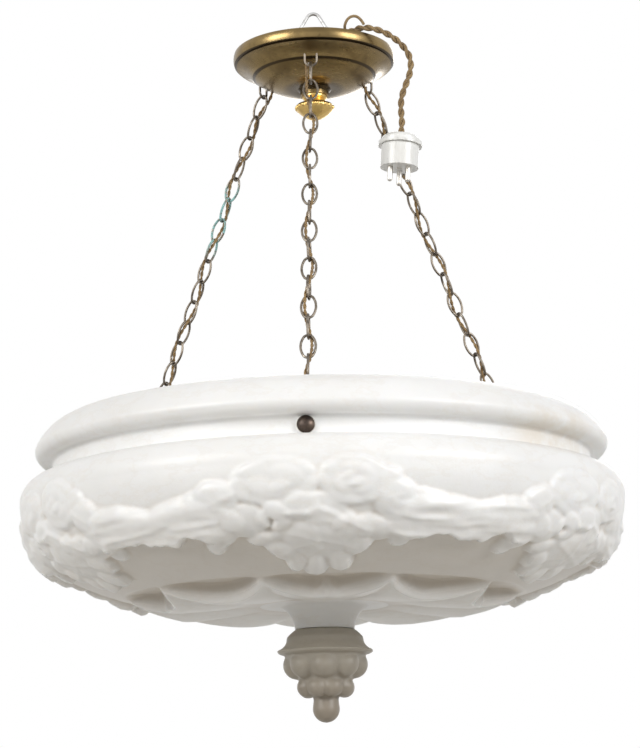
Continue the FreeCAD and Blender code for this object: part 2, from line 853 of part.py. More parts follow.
def make_chain_flexes():
    """The flex down each chain, from its hole in the cup to just short of the clevis."""
    radius = float(S.flex_wire) / 2
    for station in STATIONS:
        place = turn(station_angle(station))
        hole = Vector(float(S.flex_hole_circle), -float(S.flex_hole_side), 0)
        top = place.multVec(hole + UP * float(CUP_RIM - S.cup_step_depth))
        below = place.multVec(hole + UP * float(EYE + S.flex_hole_drop))
        woven = weave_points(station)
        last = place.multVec(flex_end_place())
        points = [top, below] + woven + [last]
        bends = cord_bends(points, float(S.flex_bend))
        shape = bar(points, bends, radius)
        print(f"chain flex {station}: least bend {min(bends):.1f}, length {shape.Volume / (math.pi * radius**2):.1f}")
        keep(feature(f"chain_flex_{station}", shape), f"chain_flex_{station}")


def make_lamp_leads():
    """The last of each flex, from the clevis down into the lampholder's cap."""
    radius = float(S.flex_wire) / 2
    entry = float(PLATE_IN) - float(S.holder_cap_length) * 0.6
    leads = []
    for station in STATIONS:
        place = turn(station_angle(station))
        first = flex_end_place() - UP * float(S.flex_gap)
        middle = Vector(first.x - 0.6, first.y + 2.0, first.z - 13.0)
        end = Vector(entry, 0, float(HOLDER + S.holder_cap_radius - S.holder_wall * 1.2))
        points = [place.multVec(p) for p in (first, middle, end)]
        leads.append(bar(points, cord_bends(points, 40.0), radius))
    group("lamp_leads", leads)


def make_supply_flex():
    """The twisted flex from the terminal block over the cup's rim and down to the plug."""
    radius = float(S.supply_wire) / 2
    over = float(CUP_RIM) + radius
    start = block_place().multVec(Vector(1.0, 2.0, float(S.block_height) + radius * 0.68))
    rim = turn(-45).multVec(Vector(float(S.cup_rim_radius), 0, over))
    points = [
        start,
        start + Vector(3.2, -5.6, 7.2),
        rim + Vector(-21.3, 9.8, -0.3),
        rim + Vector(-11.3, 1.8, 2.2),
        rim + Vector(-0.3, -2.2, 2.0),
        rim + Vector(11.2, -1.7, -1.4),
        rim + Vector(21.7, 1.8, -6.8),
        rim + Vector(30.2, 5.8, -14.3),
        rim + Vector(35.0, 8.3, -23.3),
        rim + Vector(34.6, 9.7, -34.3),
        rim + Vector(30.2, 10.3, -45.3),
        rim + Vector(26.1, 10.3, -56.3),
        rim + Vector(25.5, 10.5, -67.8),
        rim + Vector(26.5, 10.3, -79.5),
        rim + Vector(24.7, 10.3, -90.9),
    ]
    bends = cord_bends(points)
    shape = bar(points, bends, radius)
    print("supply flex bends", [round(b, 1) for b in bends])
    print(f"supply flex length {shape.Volume / (math.pi * radius**2):.1f}")
    keep(feature("supply_flex", shape), "supply_flex")
    return points[-1]


def make_cup_leads():
    """Inside the cup: a lead from the terminal block to each of the three flex holes."""
    radius = float(S.flex_wire) / 2
    place = block_place()
    level = place.Base.z + float(S.block_height) * 0.6
    end = float(S.block_length) / 2 + radius * 0.65
    clear = float(S.lead_circle)
    low = float(CUP_RIM - S.cup_step_depth + S.flex_gap)

    def from_block(side, across):
        return place.multVec(Vector(side * end, across, float(S.block_height) * 0.6))

    def round_cup(degrees):
        return turn(degrees).multVec(Vector(clear, 0, level))

    def hole(station):
        foot = Vector(float(S.flex_hole_circle), -float(S.flex_hole_side), 0)
        spot = turn(station_angle(station)).multVec(foot)
        return [Vector(spot.x, spot.y, level), Vector(spot.x, spot.y, low)]

    front = [from_block(-1, -3.0)] + hole("front")
    right = [from_block(1, 2.0), round_cup(-20.0), round_cup(2.0)] + hole("right")
    left = [from_block(-1, 3.5), round_cup(-122.0), round_cup(-150.0)]
    left += [round_cup(180.0), round_cup(160.0)] + hole("left")
    leads = []
    for points in (front, right, left):
        leads.append(bar(points, cord_bends(points, float(S.lead_bend)), radius))
    group("cup_leads", leads)


# ---- terminal block ----


def block_place():
    """The block lies across the cup's floor, square to a radius, on its two far corners."""
    angle = math.radians(float(S.block_angle))
    radius = float(S.block_circle)
    reach = math.hypot(radius + float(S.block_width) / 2, float(S.block_length) / 2)
    outline = cup_outline()
    floor = arc_height(outline[13], outline[14], reach) + float(S.block_seat)
    spot = Vector(radius * math.cos(angle), radius * math.sin(angle), floor)
    return FreeCAD.Placement(spot, FreeCAD.Rotation(UP, float(S.block_angle) + 90.0))


def make_block():
    """The terminal block and its clamp screws."""
    box = doc.addObject("Part::Box", "block_box")
    box.setExpression("Length", S.block_length.text)
    box.setExpression("Width", S.block_width.text)
    box.setExpression("Height", S.block_height.text)
    doc.recompute()
    centred = FreeCAD.Placement(
        Vector(-float(S.block_length) / 2, -float(S.block_width) / 2, 0), FreeCAD.Rotation()
    )
    block = moved(moved(box.Shape, centred), block_place())
    screws, holes = [], []
    sink = float(S.block_screw_height)
    for i in (-1, 0, 1):
        spot = Vector(i * float(S.block_screw_pitch), -3.2, float(S.block_height) - sink)
        hole = Part.makeCylinder(float(S.block_screw_radius) + 0.1, sink, spot)
        screw = Part.makeCylinder(float(S.block_screw_radius), sink * 0.8, spot)
        holes.append(moved(hole, block_place()))
        screws.append(moved(screw, block_place()))
    keep(feature("block", block.cut(holes)), "terminal_block")
    group("terminal_screws", screws)


# ---- bowl ----


def bowl_outline():
    """Half section of the turned bowl, from the brim's inner edge round the outside."""
    lip = BRIM - S.lip_drop
    cove_top = lip - S.lip_under
    cove_foot = cove_top - S.cove_height
    return [
        (S.brim_inner_radius, BRIM),
        (S.brim_inner_radius + S.brim_width, BRIM, S.lip_curve, -1),
        (LIP, lip, S.lip_under, -1),
        (LIP - S.lip_under, cove_top),
        (COVE + 0.4, cove_top),
        (COVE, cove_top - 0.4),
        (COVE, cove_foot + 0.4),
        (COVE + 0.4, cove_foot),
        (S.brim_inner_radius + S.shoulder_reach, cove_foot, S.shoulder_curve, -1),
        (BODY, BRIM - S.body_drop, S.haunch_curve, -1),
        (S.brim_inner_radius + S.haunch_reach, BRIM - S.haunch_drop, S.under_curve, -1),
        (S.brim_inner_radius - S.under_inset, BRIM - S.under_drop),
        (S.boss_top_radius, BRIM - S.boss_top_drop, S.boss_curve, 1),
        (S.boss_radius, BOSS),
        (S.bowl_hole, BOSS),
        (S.bowl_hole, BRIM - S.floor_drop),
        (S.brim_inner_radius - S.floor_inset, BRIM - S.floor_drop, S.floor_curve, 1),
        (S.brim_inner_radius + S.belly_foot_reach, BRIM - S.belly_foot_drop, S.belly_curve, 1),
        (S.brim_inner_radius + S.belly_reach, BRIM - S.belly_drop),
        (S.brim_inner_radius, BRIM - S.throat_depth),
    ]


def body_edges():
    """The arcs of the bowl's outside below the cove, in order, as edges in the XZ plane."""
    outline = bowl_outline()
    edges = []
    for start, end in zip(outline[8:11], outline[9:12]):
        middle = arc_middle(start, end, start[2], start[3])
        points = (start, (middle.x, middle.y), end)
        edges.append(Part.Arc(*[Vector(float(p[0]), 0, float(p[1])) for p in points]).toShape())
    return edges


def wall_place(distance, azimuth):
    """A placement on the bowl's outside: +Z out of the wall, at a distance from the cove."""
    for edge in body_edges():
        if distance <= edge.Length:
            break
        distance -= edge.Length
    parameter = edge.getParameterByLength(min(distance, edge.Length))
    spot, tangent = edge.valueAt(parameter), edge.tangentAt(parameter)
    normal = Vector(-tangent.z, 0, tangent.x)
    lean = FreeCAD.Rotation(UP, normal)
    return turn(azimuth).multiply(FreeCAD.Placement(spot, lean))


def dome(radius, height):
    """A low spherical boss with a short root below it that sinks into the wall."""
    root = float(S.carving_root)
    ball = (radius**2 + height**2) / (2 * height)
    rim = Vector(radius, 0, 0)
    crown = Vector(0, 0, height)
    half = math.atan2(radius, ball - height) / 2
    middle = Vector(ball * math.sin(half), 0, height - ball + ball * math.cos(half))
    outline = Part.Wire([
        Part.LineSegment(Vector(0, 0, -root), Vector(radius, 0, -root)).toShape(),
        Part.LineSegment(Vector(radius, 0, -root), rim).toShape(),
        Part.Arc(rim, middle, crown).toShape(),
        Part.LineSegment(crown, Vector(0, 0, -root)).toShape(),
    ])
    return Part.Face(outline).revolve(ORIGIN, UP, 360)


def boss(azimuth, aside, fall, radius, height):
    """One low boss, so far aside from a cluster's middle and down the wall from the cove."""
    shape = dome(float(radius), float(height))
    return moved(shape, wall_place(float(fall), azimuth + float(aside)))


def cluster_carving(azimuth):
    """One garland cluster: two roses over buds and leaves, as low bosses."""
    return [
        boss(azimuth, -S.rose_aside, S.rose_fall, S.rose_radius, S.rose_height),
        boss(azimuth, S.rose_aside, S.rose_fall, S.rose_radius, S.rose_height),
        boss(azimuth, -S.bud_aside, S.bud_fall, S.bud_radius, S.bud_height),
        boss(azimuth, S.upper_bud_aside, S.upper_bud_fall, S.upper_bud_radius, S.upper_bud_height),
        boss(azimuth, ZERO, S.leaf_fall, S.leaf_radius, S.leaf_height),
        boss(azimuth, -S.low_leaf_aside, S.low_leaf_fall, S.low_leaf_radius, S.low_leaf_height),
        boss(azimuth, S.low_leaf_aside, S.low_leaf_fall, S.low_leaf_radius, S.low_leaf_height),
        boss(azimuth, S.tip_leaf_aside, S.tip_leaf_fall, S.tip_leaf_radius, S.tip_leaf_height),
        boss(azimuth, -S.side_leaf_aside, S.side_leaf_fall, S.side_leaf_radius, S.side_leaf_height),
        boss(azimuth, S.side_leaf_aside, S.side_leaf_fall, S.side_leaf_radius, S.side_leaf_height),
    ]


def swag(azimuth):
    """A draped swag from one cluster to the next: a tube on an arc through three points."""
    step = 360.0 / float(S.clusters)
    reach = float(S.swag_reach)
    ends, middle = float(BRIM - S.swag_end_drop), float(BRIM - S.swag_middle_drop)
    places = ((reach, ends), (step / 2, middle), (step - reach, ends))
    points = [
        turn(azimuth + degrees).multVec(Vector(float(BODY - S.swag_inset), 0, z)) for degrees, z in places
    ]
    edge = Part.Arc(*points).toShape()
    tangent = edge.tangentAt(edge.FirstParameter)
    section = Part.Wire(Part.makeCircle(float(S.swag_radius), points[0], tangent))
    return Part.Wire(edge).makePipeShell([section], True, False)


def petals(azimuth):
    """Two petals of the rosette under the bowl: a broad one and the small one beside it."""
    step = 360.0 / float(S.petals)
    root = float(S.petal_root)
    broad = Part.makeCylinder(
        float(S.petal_radius), root, Vector(float(S.petal_circle), 0, float(BRIM - S.petal_drop))
    )
    small = Part.makeCylinder(
        float(S.small_petal_radius),
        root,
        Vector(float(S.small_petal_circle), 0, float(BRIM - S.small_petal_drop)),
    )
    return [moved(broad, turn(azimuth)), moved(small, turn(azimuth + step / 2))]


def make_bowl():
    """The bowl: the turned blank with its carving, drilled for three rim bolts."""
    blank = turned("bowl_turning", bowl_outline())
    doc.recompute()
    carving = []
    count = int(float(S.clusters))
    for number in range(count):
        azimuth = float(S.front_chain_angle) + 360.0 * number / count
        carving += cluster_carving(azimuth) + [swag(azimuth)]
    count = int(float(S.petals))
    for number in range(count):
        carving += petals(float(S.petal_angle) + 360.0 * number / count)
    carved = blank.Shape.multiFuse(carving)
    holes = []
    for station in STATIONS:
        hole = Part.makeCylinder(
            float(S.bolt_radius + S.bolt_hole_clearance),
            float(LIP - S.brim_inner_radius) * 2,
            Vector(float(S.brim_inner_radius) - 5.0, 0, float(BOLT)),
            SIDE,
        )
        holes.append(moved(hole, turn(station_angle(station))))
    keep(feature("bowl", carved.cut(holes)), "alabaster_bowl")


# ---- rim bolts, brackets and clevis pins ----


def radial(shape, radius, height):
    """Turn a shape made on +Z so that it points outward along +X at a radius and height."""
    place = FreeCAD.Placement(
        Vector(float(radius), 0, float(height)), FreeCAD.Rotation(BACK, 90)
    )
    return moved(shape, place)


def around(shape):
    """The three copies of a shape at the three chains."""
    return [moved(shape, turn(station_angle(station))) for station in STATIONS]


def make_rim_bolts():
    """Dome-headed bolts through the bowl's cove, with washers outside and nuts inside."""
    seat = COVE + S.rim_washer_thickness + S.seat_clearance
    nut_out = PLATE_IN - S.seat_clearance
    nut_in = nut_out - S.rim_nut_height
    shank_end = nut_in - S.bolt_spare
    length = seat - shank_end
    rise = S.bolt_head_height - S.bolt_head_edge
    crown = (S.bolt_head_radius * S.bolt_head_radius + rise * rise) / (rise * 2)
    outline = [
        (ZERO, ZERO - length),
        (S.bolt_radius, ZERO - length),
        (S.bolt_radius, ZERO),
        (S.bolt_head_radius, ZERO),
        (S.bolt_head_radius, S.bolt_head_edge, crown, 1),
        (ZERO, S.bolt_head_height),
    ]
    bolt = turned("rim_bolt", outline)
    ring = washer(
        "rim_washer", S.rim_washer_radius, S.rim_washer_thickness,
        S.bolt_radius + S.seat_clearance,
    )
    rim_nut = nut("rim_nut", S.rim_nut_flats, S.rim_nut_height, S.bolt_radius)
    doc.recompute()
    washer_base = COVE + S.seat_clearance / 2
    group("rim_bolts", around(radial(bolt.Shape, seat, BOLT)))
    group("rim_washers", around(radial(ring.Shape, washer_base, BOLT)))
    group("rim_nuts", around(radial(rim_nut.Shape, nut_in, BOLT)))


def make_brackets():
    """Each bracket: a plate on the bowl's inner wall with a clevis above and a lamp hole below."""
    half = float(S.bracket_width) / 2
    thick = float(S.bracket_thickness)
    foot, top = float(BOLT - S.bracket_foot_drop), float(BOLT + S.bracket_top_rise)
    plate = Part.makeBox(thick, 2 * half, top - foot, Vector(float(PLATE_IN), -half, foot))
    inner = float(HOOK_RADIUS - S.ear_reach)
    ear_foot = float(HOOK) - float(S.ear_height) / 2
    solids = []
    for side in (-1, 1):
        middle = side * float(S.ear_gap + S.ear_thickness) / 2
        ear = Part.makeBox(
            float(PLATE_IN) - inner + thick / 2,
            float(S.ear_thickness),
            float(S.ear_height),
            Vector(inner, middle - float(S.ear_thickness) / 2, ear_foot),
        )
        solids.append(ear)
    bracket = plate.multiFuse(solids).removeSplitter()
    reach = float(S.bracket_width) * 2
    pin_hole = Part.makeCylinder(
        float(S.pin_radius + S.thread_clearance), reach,
        Vector(float(HOOK_RADIUS), -reach / 2, float(HOOK)), BACK,
    )
    bolt_hole = Part.makeCylinder(
        float(S.bolt_radius + S.seat_clearance), thick * 3,
        Vector(float(PLATE_IN) - thick, 0, float(BOLT)), SIDE,
    )
    lamp_hole = Part.makeCylinder(
        float(S.nipple_radius + S.thread_clearance), thick * 3,
        Vector(float(PLATE_IN) - thick, 0, float(HOLDER)), SIDE,
    )
    bracket = bracket.cut([pin_hole, bolt_hole, lamp_hole])
    for station in STATIONS:
        name = f"hook_bracket_{station}"
        keep(feature(name, moved(bracket, turn(station_angle(station)))), name)


def make_clevis_pins():
    """A headed pin across each clevis; the chain's last link hangs on it."""
    ear = float(S.ear_gap / 2 + S.ear_thickness)
    gap = float(S.seat_clearance)
    head = float(S.pin_head_height)
    start = Vector(float(HOOK_RADIUS), -ear - gap, float(HOOK))
    shank = Part.makeCylinder(float(S.pin_radius), 2 * (ear + gap), start, BACK)
    heads = [
        Part.makeCylinder(float(S.pin_head_radius), head, start - BACK * head, BACK),
        Part.makeCylinder(float(S.pin_head_radius), head, start + BACK * 2 * (ear + gap), BACK),
    ]
    group("clevis_pins", around(shank.multiFuse(heads).removeSplitter()))


# ---- lampholders: made on +Z with the mouth up, then laid pointing at the bowl's axis ----


def inward(shape, radius, height):
    """Lay a shape made on +Z so that it points at the axis, its base at a radius."""
    place = FreeCAD.Placement(
        Vector(float(radius), 0, float(height)), FreeCAD.Rotation(BACK, -90)
    )
    return moved(shape, place)


def cap_outline():
    """Half section of a lampholder's cap: closed end with a nipple hole, domed shoulder."""
    outer, wall, length = S.holder_cap_radius, S.holder_wall, S.holder_cap_length
    inner = outer - wall
    hole = S.nipple_radius + S.thread_clearance
    shoulder = S.nipple_nut_flats * 0.63
    curve = S.holder_cap_radius * 0.7
    return [
        (hole, ZERO),
        (shoulder, ZERO, curve, 1),
        (outer, length * 0.25),
        (outer, length),
        (inner, length),
        (inner, length * 0.25, curve - wall, -1),
        (shoulder - 0.3, ZERO + wall),
        (hole, ZERO + wall),
    ]


def skirt_outline():
    """Half section of the skirt: the bayonet socket with a narrower seat for the core."""
    bore, outer = S.socket_radius, S.socket_radius + S.skirt_wall
    seat = S.socket_radius - S.core_step
    step = S.skirt_length - S.socket_depth
    return [
        (seat, ZERO), (outer, ZERO), (outer, S.skirt_length), (bore, S.skirt_length),
        (bore, step), (seat, step),
    ]


def make_lampholders():
    """Cap, skirt, shade ring, core, plungers, nipple and nuts of each bayonet lampholder."""
    base = PLATE_IN - S.seat_clearance
    skirt_base = base - S.holder_cap_length - S.seat_clearance
    cap = turned("holder_cap", cap_outline())
    skirt = turned("holder_skirt", skirt_outline())
    ring_bore = S.socket_radius + S.skirt_wall + S.seat_clearance
    ring = washer("shade_ring", S.shade_ring_radius, S.shade_ring_length, ring_bore)
    core_radius = S.socket_radius - S.core_step - S.seat_clearance
    core = cylinder("holder_core", core_radius, S.core_length)
    nipple_length = S.bracket_thickness + S.nipple_nut_height * 2 + S.holder_wall * 3
    nipple = washer("nipple", S.nipple_radius, nipple_length, S.nipple_radius - 1.5)
    thin_nut = nut("nipple_nut", S.nipple_nut_flats, S.nipple_nut_height, S.nipple_radius)
    doc.recompute()

    entry = Part.makeCylinder(
        float(S.lead_entry_radius), float(S.holder_cap_radius) * 2,
        Vector(0, 0, float(S.holder_cap_length) * 0.6), SIDE,
    )
    cap_shape = cap.Shape.cut(entry)
    slot = Part.makeBox(
        float(S.socket_radius) * 4, float(S.slot_width), float(S.slot_length),
        Vector(
            -float(S.socket_radius) * 2, -float(S.slot_width) / 2,
            float(S.skirt_length - S.slot_length),
        ),
    )
    skirt_shape = skirt.Shape.cut(slot)
    core_base = skirt_base + S.core_length * 0.75
    holes, plungers = [], []
    for side in (-1, 1):
        spot = Vector(0, side * float(S.plunger_pitch) / 2, 0)
        bore = Part.makeCylinder(
            float(S.plunger_radius + S.hinge_clearance), float(S.core_length), spot
        )
        holes.append(bore)
        rod = Part.makeCylinder(float(S.plunger_radius), float(S.plunger_length), spot)
        tip = Part.makeSphere(
            float(S.plunger_radius), spot + UP * float(S.plunger_length)
        )
        plungers.append(rod.fuse(tip).removeSplitter())
    core_shape = core.Shape.cut(holes)
    plunger_base = core_base - S.core_length - S.plunger_proud + S.plunger_length + S.plunger_radius
    nipple_base = PLATE_OUT + S.nipple_nut_height + S.holder_wall
    back_nut = PLATE_OUT + S.seat_clearance / 2 + S.nipple_nut_height
    front_nut = base - S.holder_wall - S.seat_clearance

    for station in STATIONS:
        place = turn(station_angle(station))
        pieces = {
            "lampholder_cap": inward(cap_shape, base, HOLDER),
            "lampholder_skirt": inward(skirt_shape, skirt_base, HOLDER),
            "shade_ring": inward(ring.Shape, skirt_base - S.shade_ring_setback, HOLDER),
            "lampholder_core": inward(core_shape, core_base, HOLDER),
        }
        for name, shape in pieces.items():
            keep(feature(f"{name}_{station}", moved(shape, place)), f"{name}_{station}")
        pair = [moved(inward(p, plunger_base, HOLDER), place) for p in plungers]
        group(f"contact_plungers_{station}", pair)
    group("holder_nipples", around(inward(nipple.Shape, nipple_base, HOLDER)))
    nuts = around(inward(thin_nut.Shape, back_nut, HOLDER))
    nuts += around(inward(thin_nut.Shape, front_nut, HOLDER))
    group("nipple_nuts", nuts)


# ---- finial ----


def finial_outline():
    """Half section of the finial's turned form: neck rings, lip and the cores of the tiers."""
    top = BOSS - S.seat_clearance
    lip = BOSS - S.finial_lip_drop
    under = lip - 4.0
    upper = BOSS - S.upper_tier_drop
    lower = BOSS - S.lower_tier_drop
    tip = BOSS - S.finial_length
    ball = tip + S.finial_tip_radius
    hole = S.finial_rod_radius + S.seat_clearance
    hole_end = BOSS - S.finial_rod_reach - 1.0
    ring = S.finial_ring_radius
    return [
        (hole, top),
        (S.boss_radius, top),
        (ring - 2.8, top - 3.4, ring * 0.3, 1),
        (ring, top - 6.2),
        (ring, top - 9.6, ring * 0.35, 1),
        (S.finial_lip_radius, lip, ring * 0.15, -1),
        (S.finial_lip_radius - 2.5, lip - 2.6),
        (S.upper_tier_radius - 3.0, under),
        (S.finial_core_radius + 6.0, upper),
        (S.finial_core_radius - 2.0, upper - S.upper_lobe_radius),
        (S.lower_tier_radius - 4.0, lower),
        (S.finial_tip_radius - 1.0, lower - S.lower_lobe_radius),
        (S.finial_tip_radius, ball, S.finial_tip_radius * 1.01, -1),
        (ZERO, tip),
        (ZERO, hole_end),
        (hole, hole_end),
    ]


def tier(radius, height, lobe, shift):
    """A ring of round carved lobes whose outer faces lie on a radius."""
    count = int(float(S.tier_lobes))
    reach = float(radius) - float(lobe)
    lobes = []
    for number in range(count):
        angle = 2 * math.pi * (number + shift) / count
        spot = Vector(reach * math.cos(angle), reach * math.sin(angle), float(height))
        lobes.append(Part.makeSphere(float(lobe), spot))
    return lobes


def make_finial():
    """The carved alabaster finial, its rod, and the washer and nut inside the bowl."""
    blank = turned("finial_turning", finial_outline())
    doc.recompute()
    upper = tier(S.upper_tier_radius, BOSS - S.upper_tier_drop, S.upper_lobe_radius, 0.0)
    lower = tier(S.lower_tier_radius, BOSS - S.lower_tier_drop, S.lower_lobe_radius, 0.5)
    hole = Part.makeCylinder(
        float(S.finial_rod_radius + S.seat_clearance),
        float(S.finial_rod_reach) + 1.0,
        Vector(0, 0, float(BOSS - S.finial_rod_reach) - 1.0),
    )
    carved = blank.Shape.multiFuse(upper + lower).cut(hole)
    keep(feature("finial", carved), "alabaster_finial")
    floor = BRIM - S.floor_drop
    seat = floor + S.finial_washer_thickness
    top = seat + S.finial_nut_height + S.finial_rod_spare
    bottom = BOSS - S.finial_rod_reach
    keep(cylinder("finial_rod", S.finial_rod_radius, top - bottom, bottom), "finial_rod")
    plate = washer(
        "finial_washer", S.finial_washer_radius, S.finial_washer_thickness,
        S.finial_rod_radius + S.seat_clearance, floor,
    )
    keep(plate, "finial_washer")
    rod_nut = nut("rod_nut", S.finial_nut_flats, S.finial_nut_height, S.finial_rod_radius, seat)
    keep(rod_nut, "finial_nut")


# ---- plug: made upright with its cord entry at the origin, then hung on the flex's end ----


def plug_cap_outline():
    """Half section of the plug's domed cap with its wider flange."""
    crown = S.plug_cap_crown
    hole = S.supply_wire / 2 + S.plug_entry_clearance
    cap, flange = S.plug_cap_radius, S.plug_flange_radius
    bottom = -S.plug_cap_height
    inner = S.plug_body_radius - 2.0
    return [
        (hole, ZERO),
        (cap - crown * 2, ZERO, crown * 2.4, -1),
        (cap, -(crown * 1.4)),
        (cap, bottom + S.plug_flange_height),
        (flange, bottom + S.plug_flange_height),
        (flange, bottom),
        (inner, bottom),
        (inner, bottom + 5.5),
        (hole, bottom + 5.5),
    ]


def make_plug(end):
    """The plug on the flex's end: flanged cap, body, three pins and the cover screw."""
    cap = turned("plug_cap", plug_cap_outline())
    body = cylinder("plug_body_blank", S.plug_body_radius, S.plug_body_height)
    doc.recompute()
    lean = FreeCAD.Rotation(BACK, float(S.plug_lean))
    place = FreeCAD.Placement(end + lean.multVec(UP) * float(S.plug_entry), lean)
    cap_height = float(S.plug_cap_height)
    gap = float(S.seat_clearance)
    foot = -cap_height - gap - float(S.plug_body_height)
    lugs = []
    for degrees in (35.0, 155.0, 275.0):
        lug = Part.makeBox(
            1.6, float(S.plug_lug_width), float(S.plug_lug_height),
            Vector(float(S.plug_flange_radius) - 0.8, -float(S.plug_lug_width) / 2, -cap_height),
        )
        lugs.append(moved(lug, turn(degrees)))
    cap_shape = cap.Shape.multiFuse(lugs).removeSplitter()
    body_shape = moved(body.Shape, FreeCAD.Placement(Vector(0, 0, foot), FreeCAD.Rotation()))
    pins, holes = [], []
    radius, root = float(S.plug_pin_radius), float(S.plug_pin_root)
    for degrees in (90.0, 210.0, 330.0):
        spot = turn(degrees).multVec(Vector(float(S.plug_pin_circle), 0, foot))
        shank = Part.makeCylinder(
            radius, float(S.plug_pin_length) + root - radius,
            spot - UP * (float(S.plug_pin_length) - radius),
        )
        tip = Part.makeSphere(radius, spot - UP * (float(S.plug_pin_length) - radius))
        pins.append(moved(shank.fuse(tip).removeSplitter(), place))
        holes.append(Part.makeCylinder(radius + gap, root + gap, spot))
    screw_spot = Vector(0, 0, foot)
    screw_hole = Part.makeCylinder(float(S.plug_screw_radius) + gap, 3.0, screw_spot)
    screw = Part.makeCylinder(float(S.plug_screw_radius), 2.4, screw_spot + UP * 0.3)
    body_shape = body_shape.cut(holes + [screw_hole])
    keep(feature("plug_cap_shape", moved(cap_shape, place)), "plug_cap")
    keep(feature("plug_body_shape", moved(body_shape, place)), "plug_body")
    group("plug_pins", pins)
    keep(feature("plug_screw_shape", moved(screw, place)), "plug_screw")


make_bail()
make_strap()
make_stem()
make_knob()
make_cup()
make_eyes()
make_chains()
make_chain_flexes()
make_lamp_leads()
make_block()
make_cup_leads()
flex_end = make_supply_flex()
make_plug(flex_end)
make_bowl()
make_rim_bolts()
make_brackets()
make_clevis_pins()
make_lampholders()
make_finial()
doc.recompute()

# Every object is sound and every sub-part is whole before anything is written
for item in doc.Objects:
    if "Invalid" in item.State or "Error" in item.State:
        raise SystemExit(f"{item.Name} failed: {item.State}")
for name, piece in kept.items():
    if piece.Shape.isNull() or not piece.Shape.isValid() or not piece.Shape.Solids:
        raise SystemExit(f"{name} has no valid solid")

os.makedirs("parts", exist_ok=True)
for name, piece in kept.items():
    piece.Shape.exportStep(os.path.join("parts", name + ".step"))
    print(f"{name}: {len(piece.Shape.Solids)} solids, {piece.Shape.Volume:.0f} mm3")
print(len(kept), "sub-parts")
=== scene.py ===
# %% [markdown]
# # A carved stone bowl pendant, dressed for its portrait
#
# A turned and carved alabaster bowl hangs on three chains from a spun brass ceiling cup. A flex
# is woven down each chain to a lampholder, and a twisted pair of flex leaves the cup over its rim
# and ends in a small plug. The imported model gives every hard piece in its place. This script adds
# what a solid model leaves plain: the carving, the twisted flexes, and the finish of every
# surface.

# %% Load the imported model
import json
import math

import bpy
import numpy as np
from mathutils import Matrix, Vector


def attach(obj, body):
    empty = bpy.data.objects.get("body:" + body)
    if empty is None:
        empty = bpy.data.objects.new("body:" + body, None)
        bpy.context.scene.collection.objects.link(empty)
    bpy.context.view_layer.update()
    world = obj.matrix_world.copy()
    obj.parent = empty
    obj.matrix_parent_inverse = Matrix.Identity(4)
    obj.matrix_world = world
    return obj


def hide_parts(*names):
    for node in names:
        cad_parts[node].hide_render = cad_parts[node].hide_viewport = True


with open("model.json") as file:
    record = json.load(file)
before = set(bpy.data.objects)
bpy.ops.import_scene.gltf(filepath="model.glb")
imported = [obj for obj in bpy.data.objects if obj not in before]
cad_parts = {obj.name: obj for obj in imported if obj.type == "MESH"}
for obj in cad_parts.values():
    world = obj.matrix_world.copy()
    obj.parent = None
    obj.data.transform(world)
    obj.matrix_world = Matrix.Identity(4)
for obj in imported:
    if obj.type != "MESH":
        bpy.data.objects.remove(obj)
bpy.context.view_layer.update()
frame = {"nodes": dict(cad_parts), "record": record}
nodes = frame["nodes"]
bodies = frame["record"]["behaviour"]["bodies"]
body_of = {node: body for body, names in bodies.items() for node in names}

MM = 0.001


# %% [markdown]
# ## The camera
#
# The pendant was photographed from a little below, from about 1.8 m away by the sizes that the
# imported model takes. The place and heading were fitted to the cup, the three chains and the bowl's
# rim. The camera leans one degree, because the pendant hangs one degree out of upright in the
# picture.

# %% Camera
CAMERA_PLACE, CAMERA_LENS = (88.95, -1797.8, -689.8), 106.2
CAMERA_HEADING, CAMERA_PITCH, CAMERA_LEAN = 92.83, math.degrees(0.205), -1.1
FILM_HEIGHT, NEAR, FAR = 36.0, 0.05, 30.0


def aim_camera(place, azimuth, pitch, roll, lens):
    """A camera at a place in mm, with its angles in degrees and its lens in mm.

    Forward is the heading round Z, raised by the pitch. Right is square to forward and to Z, up is
    square to both, and the roll turns right and up round forward.
    """
    heading, up_angle, lean = (math.radians(a) for a in (azimuth, pitch, roll))
    level = math.cos(up_angle)
    forward = Vector((math.cos(heading) * level, math.sin(heading) * level, math.sin(up_angle)))
    right = forward.cross(Vector((0, 0, 1))).normalized()
    up = right.cross(forward)
    side = right * math.cos(lean) + up * math.sin(lean)
    top = up * math.cos(lean) - right * math.sin(lean)
    turn = Matrix((side, top, -forward)).transposed().to_4x4()
    data = bpy.data.cameras.new("portrait_camera")
    data.sensor_fit = "VERTICAL"
    data.sensor_height = FILM_HEIGHT
    data.lens = lens
    data.clip_start, data.clip_end = NEAR, FAR
    camera = bpy.data.objects.new("portrait_camera", data)
    camera.matrix_world = Matrix.Translation(Vector(place) * MM) @ turn
    bpy.context.scene.collection.objects.link(camera)
    bpy.context.scene.camera = camera
    return camera


camera = aim_camera(CAMERA_PLACE, CAMERA_HEADING, CAMERA_PITCH, CAMERA_LEAN, CAMERA_LENS)
print("camera at", [round(v, 3) for v in camera.location])


# %% [markdown]
# ## Tools: shader sums
#
# A finish is a small sum of noises, lines and places. `Wire` wraps a shader socket, so that a sum
# is written as a sum. `Nodes` makes every node of a tree through one method, and `Finish` is such
# a tree with a surface at its end.

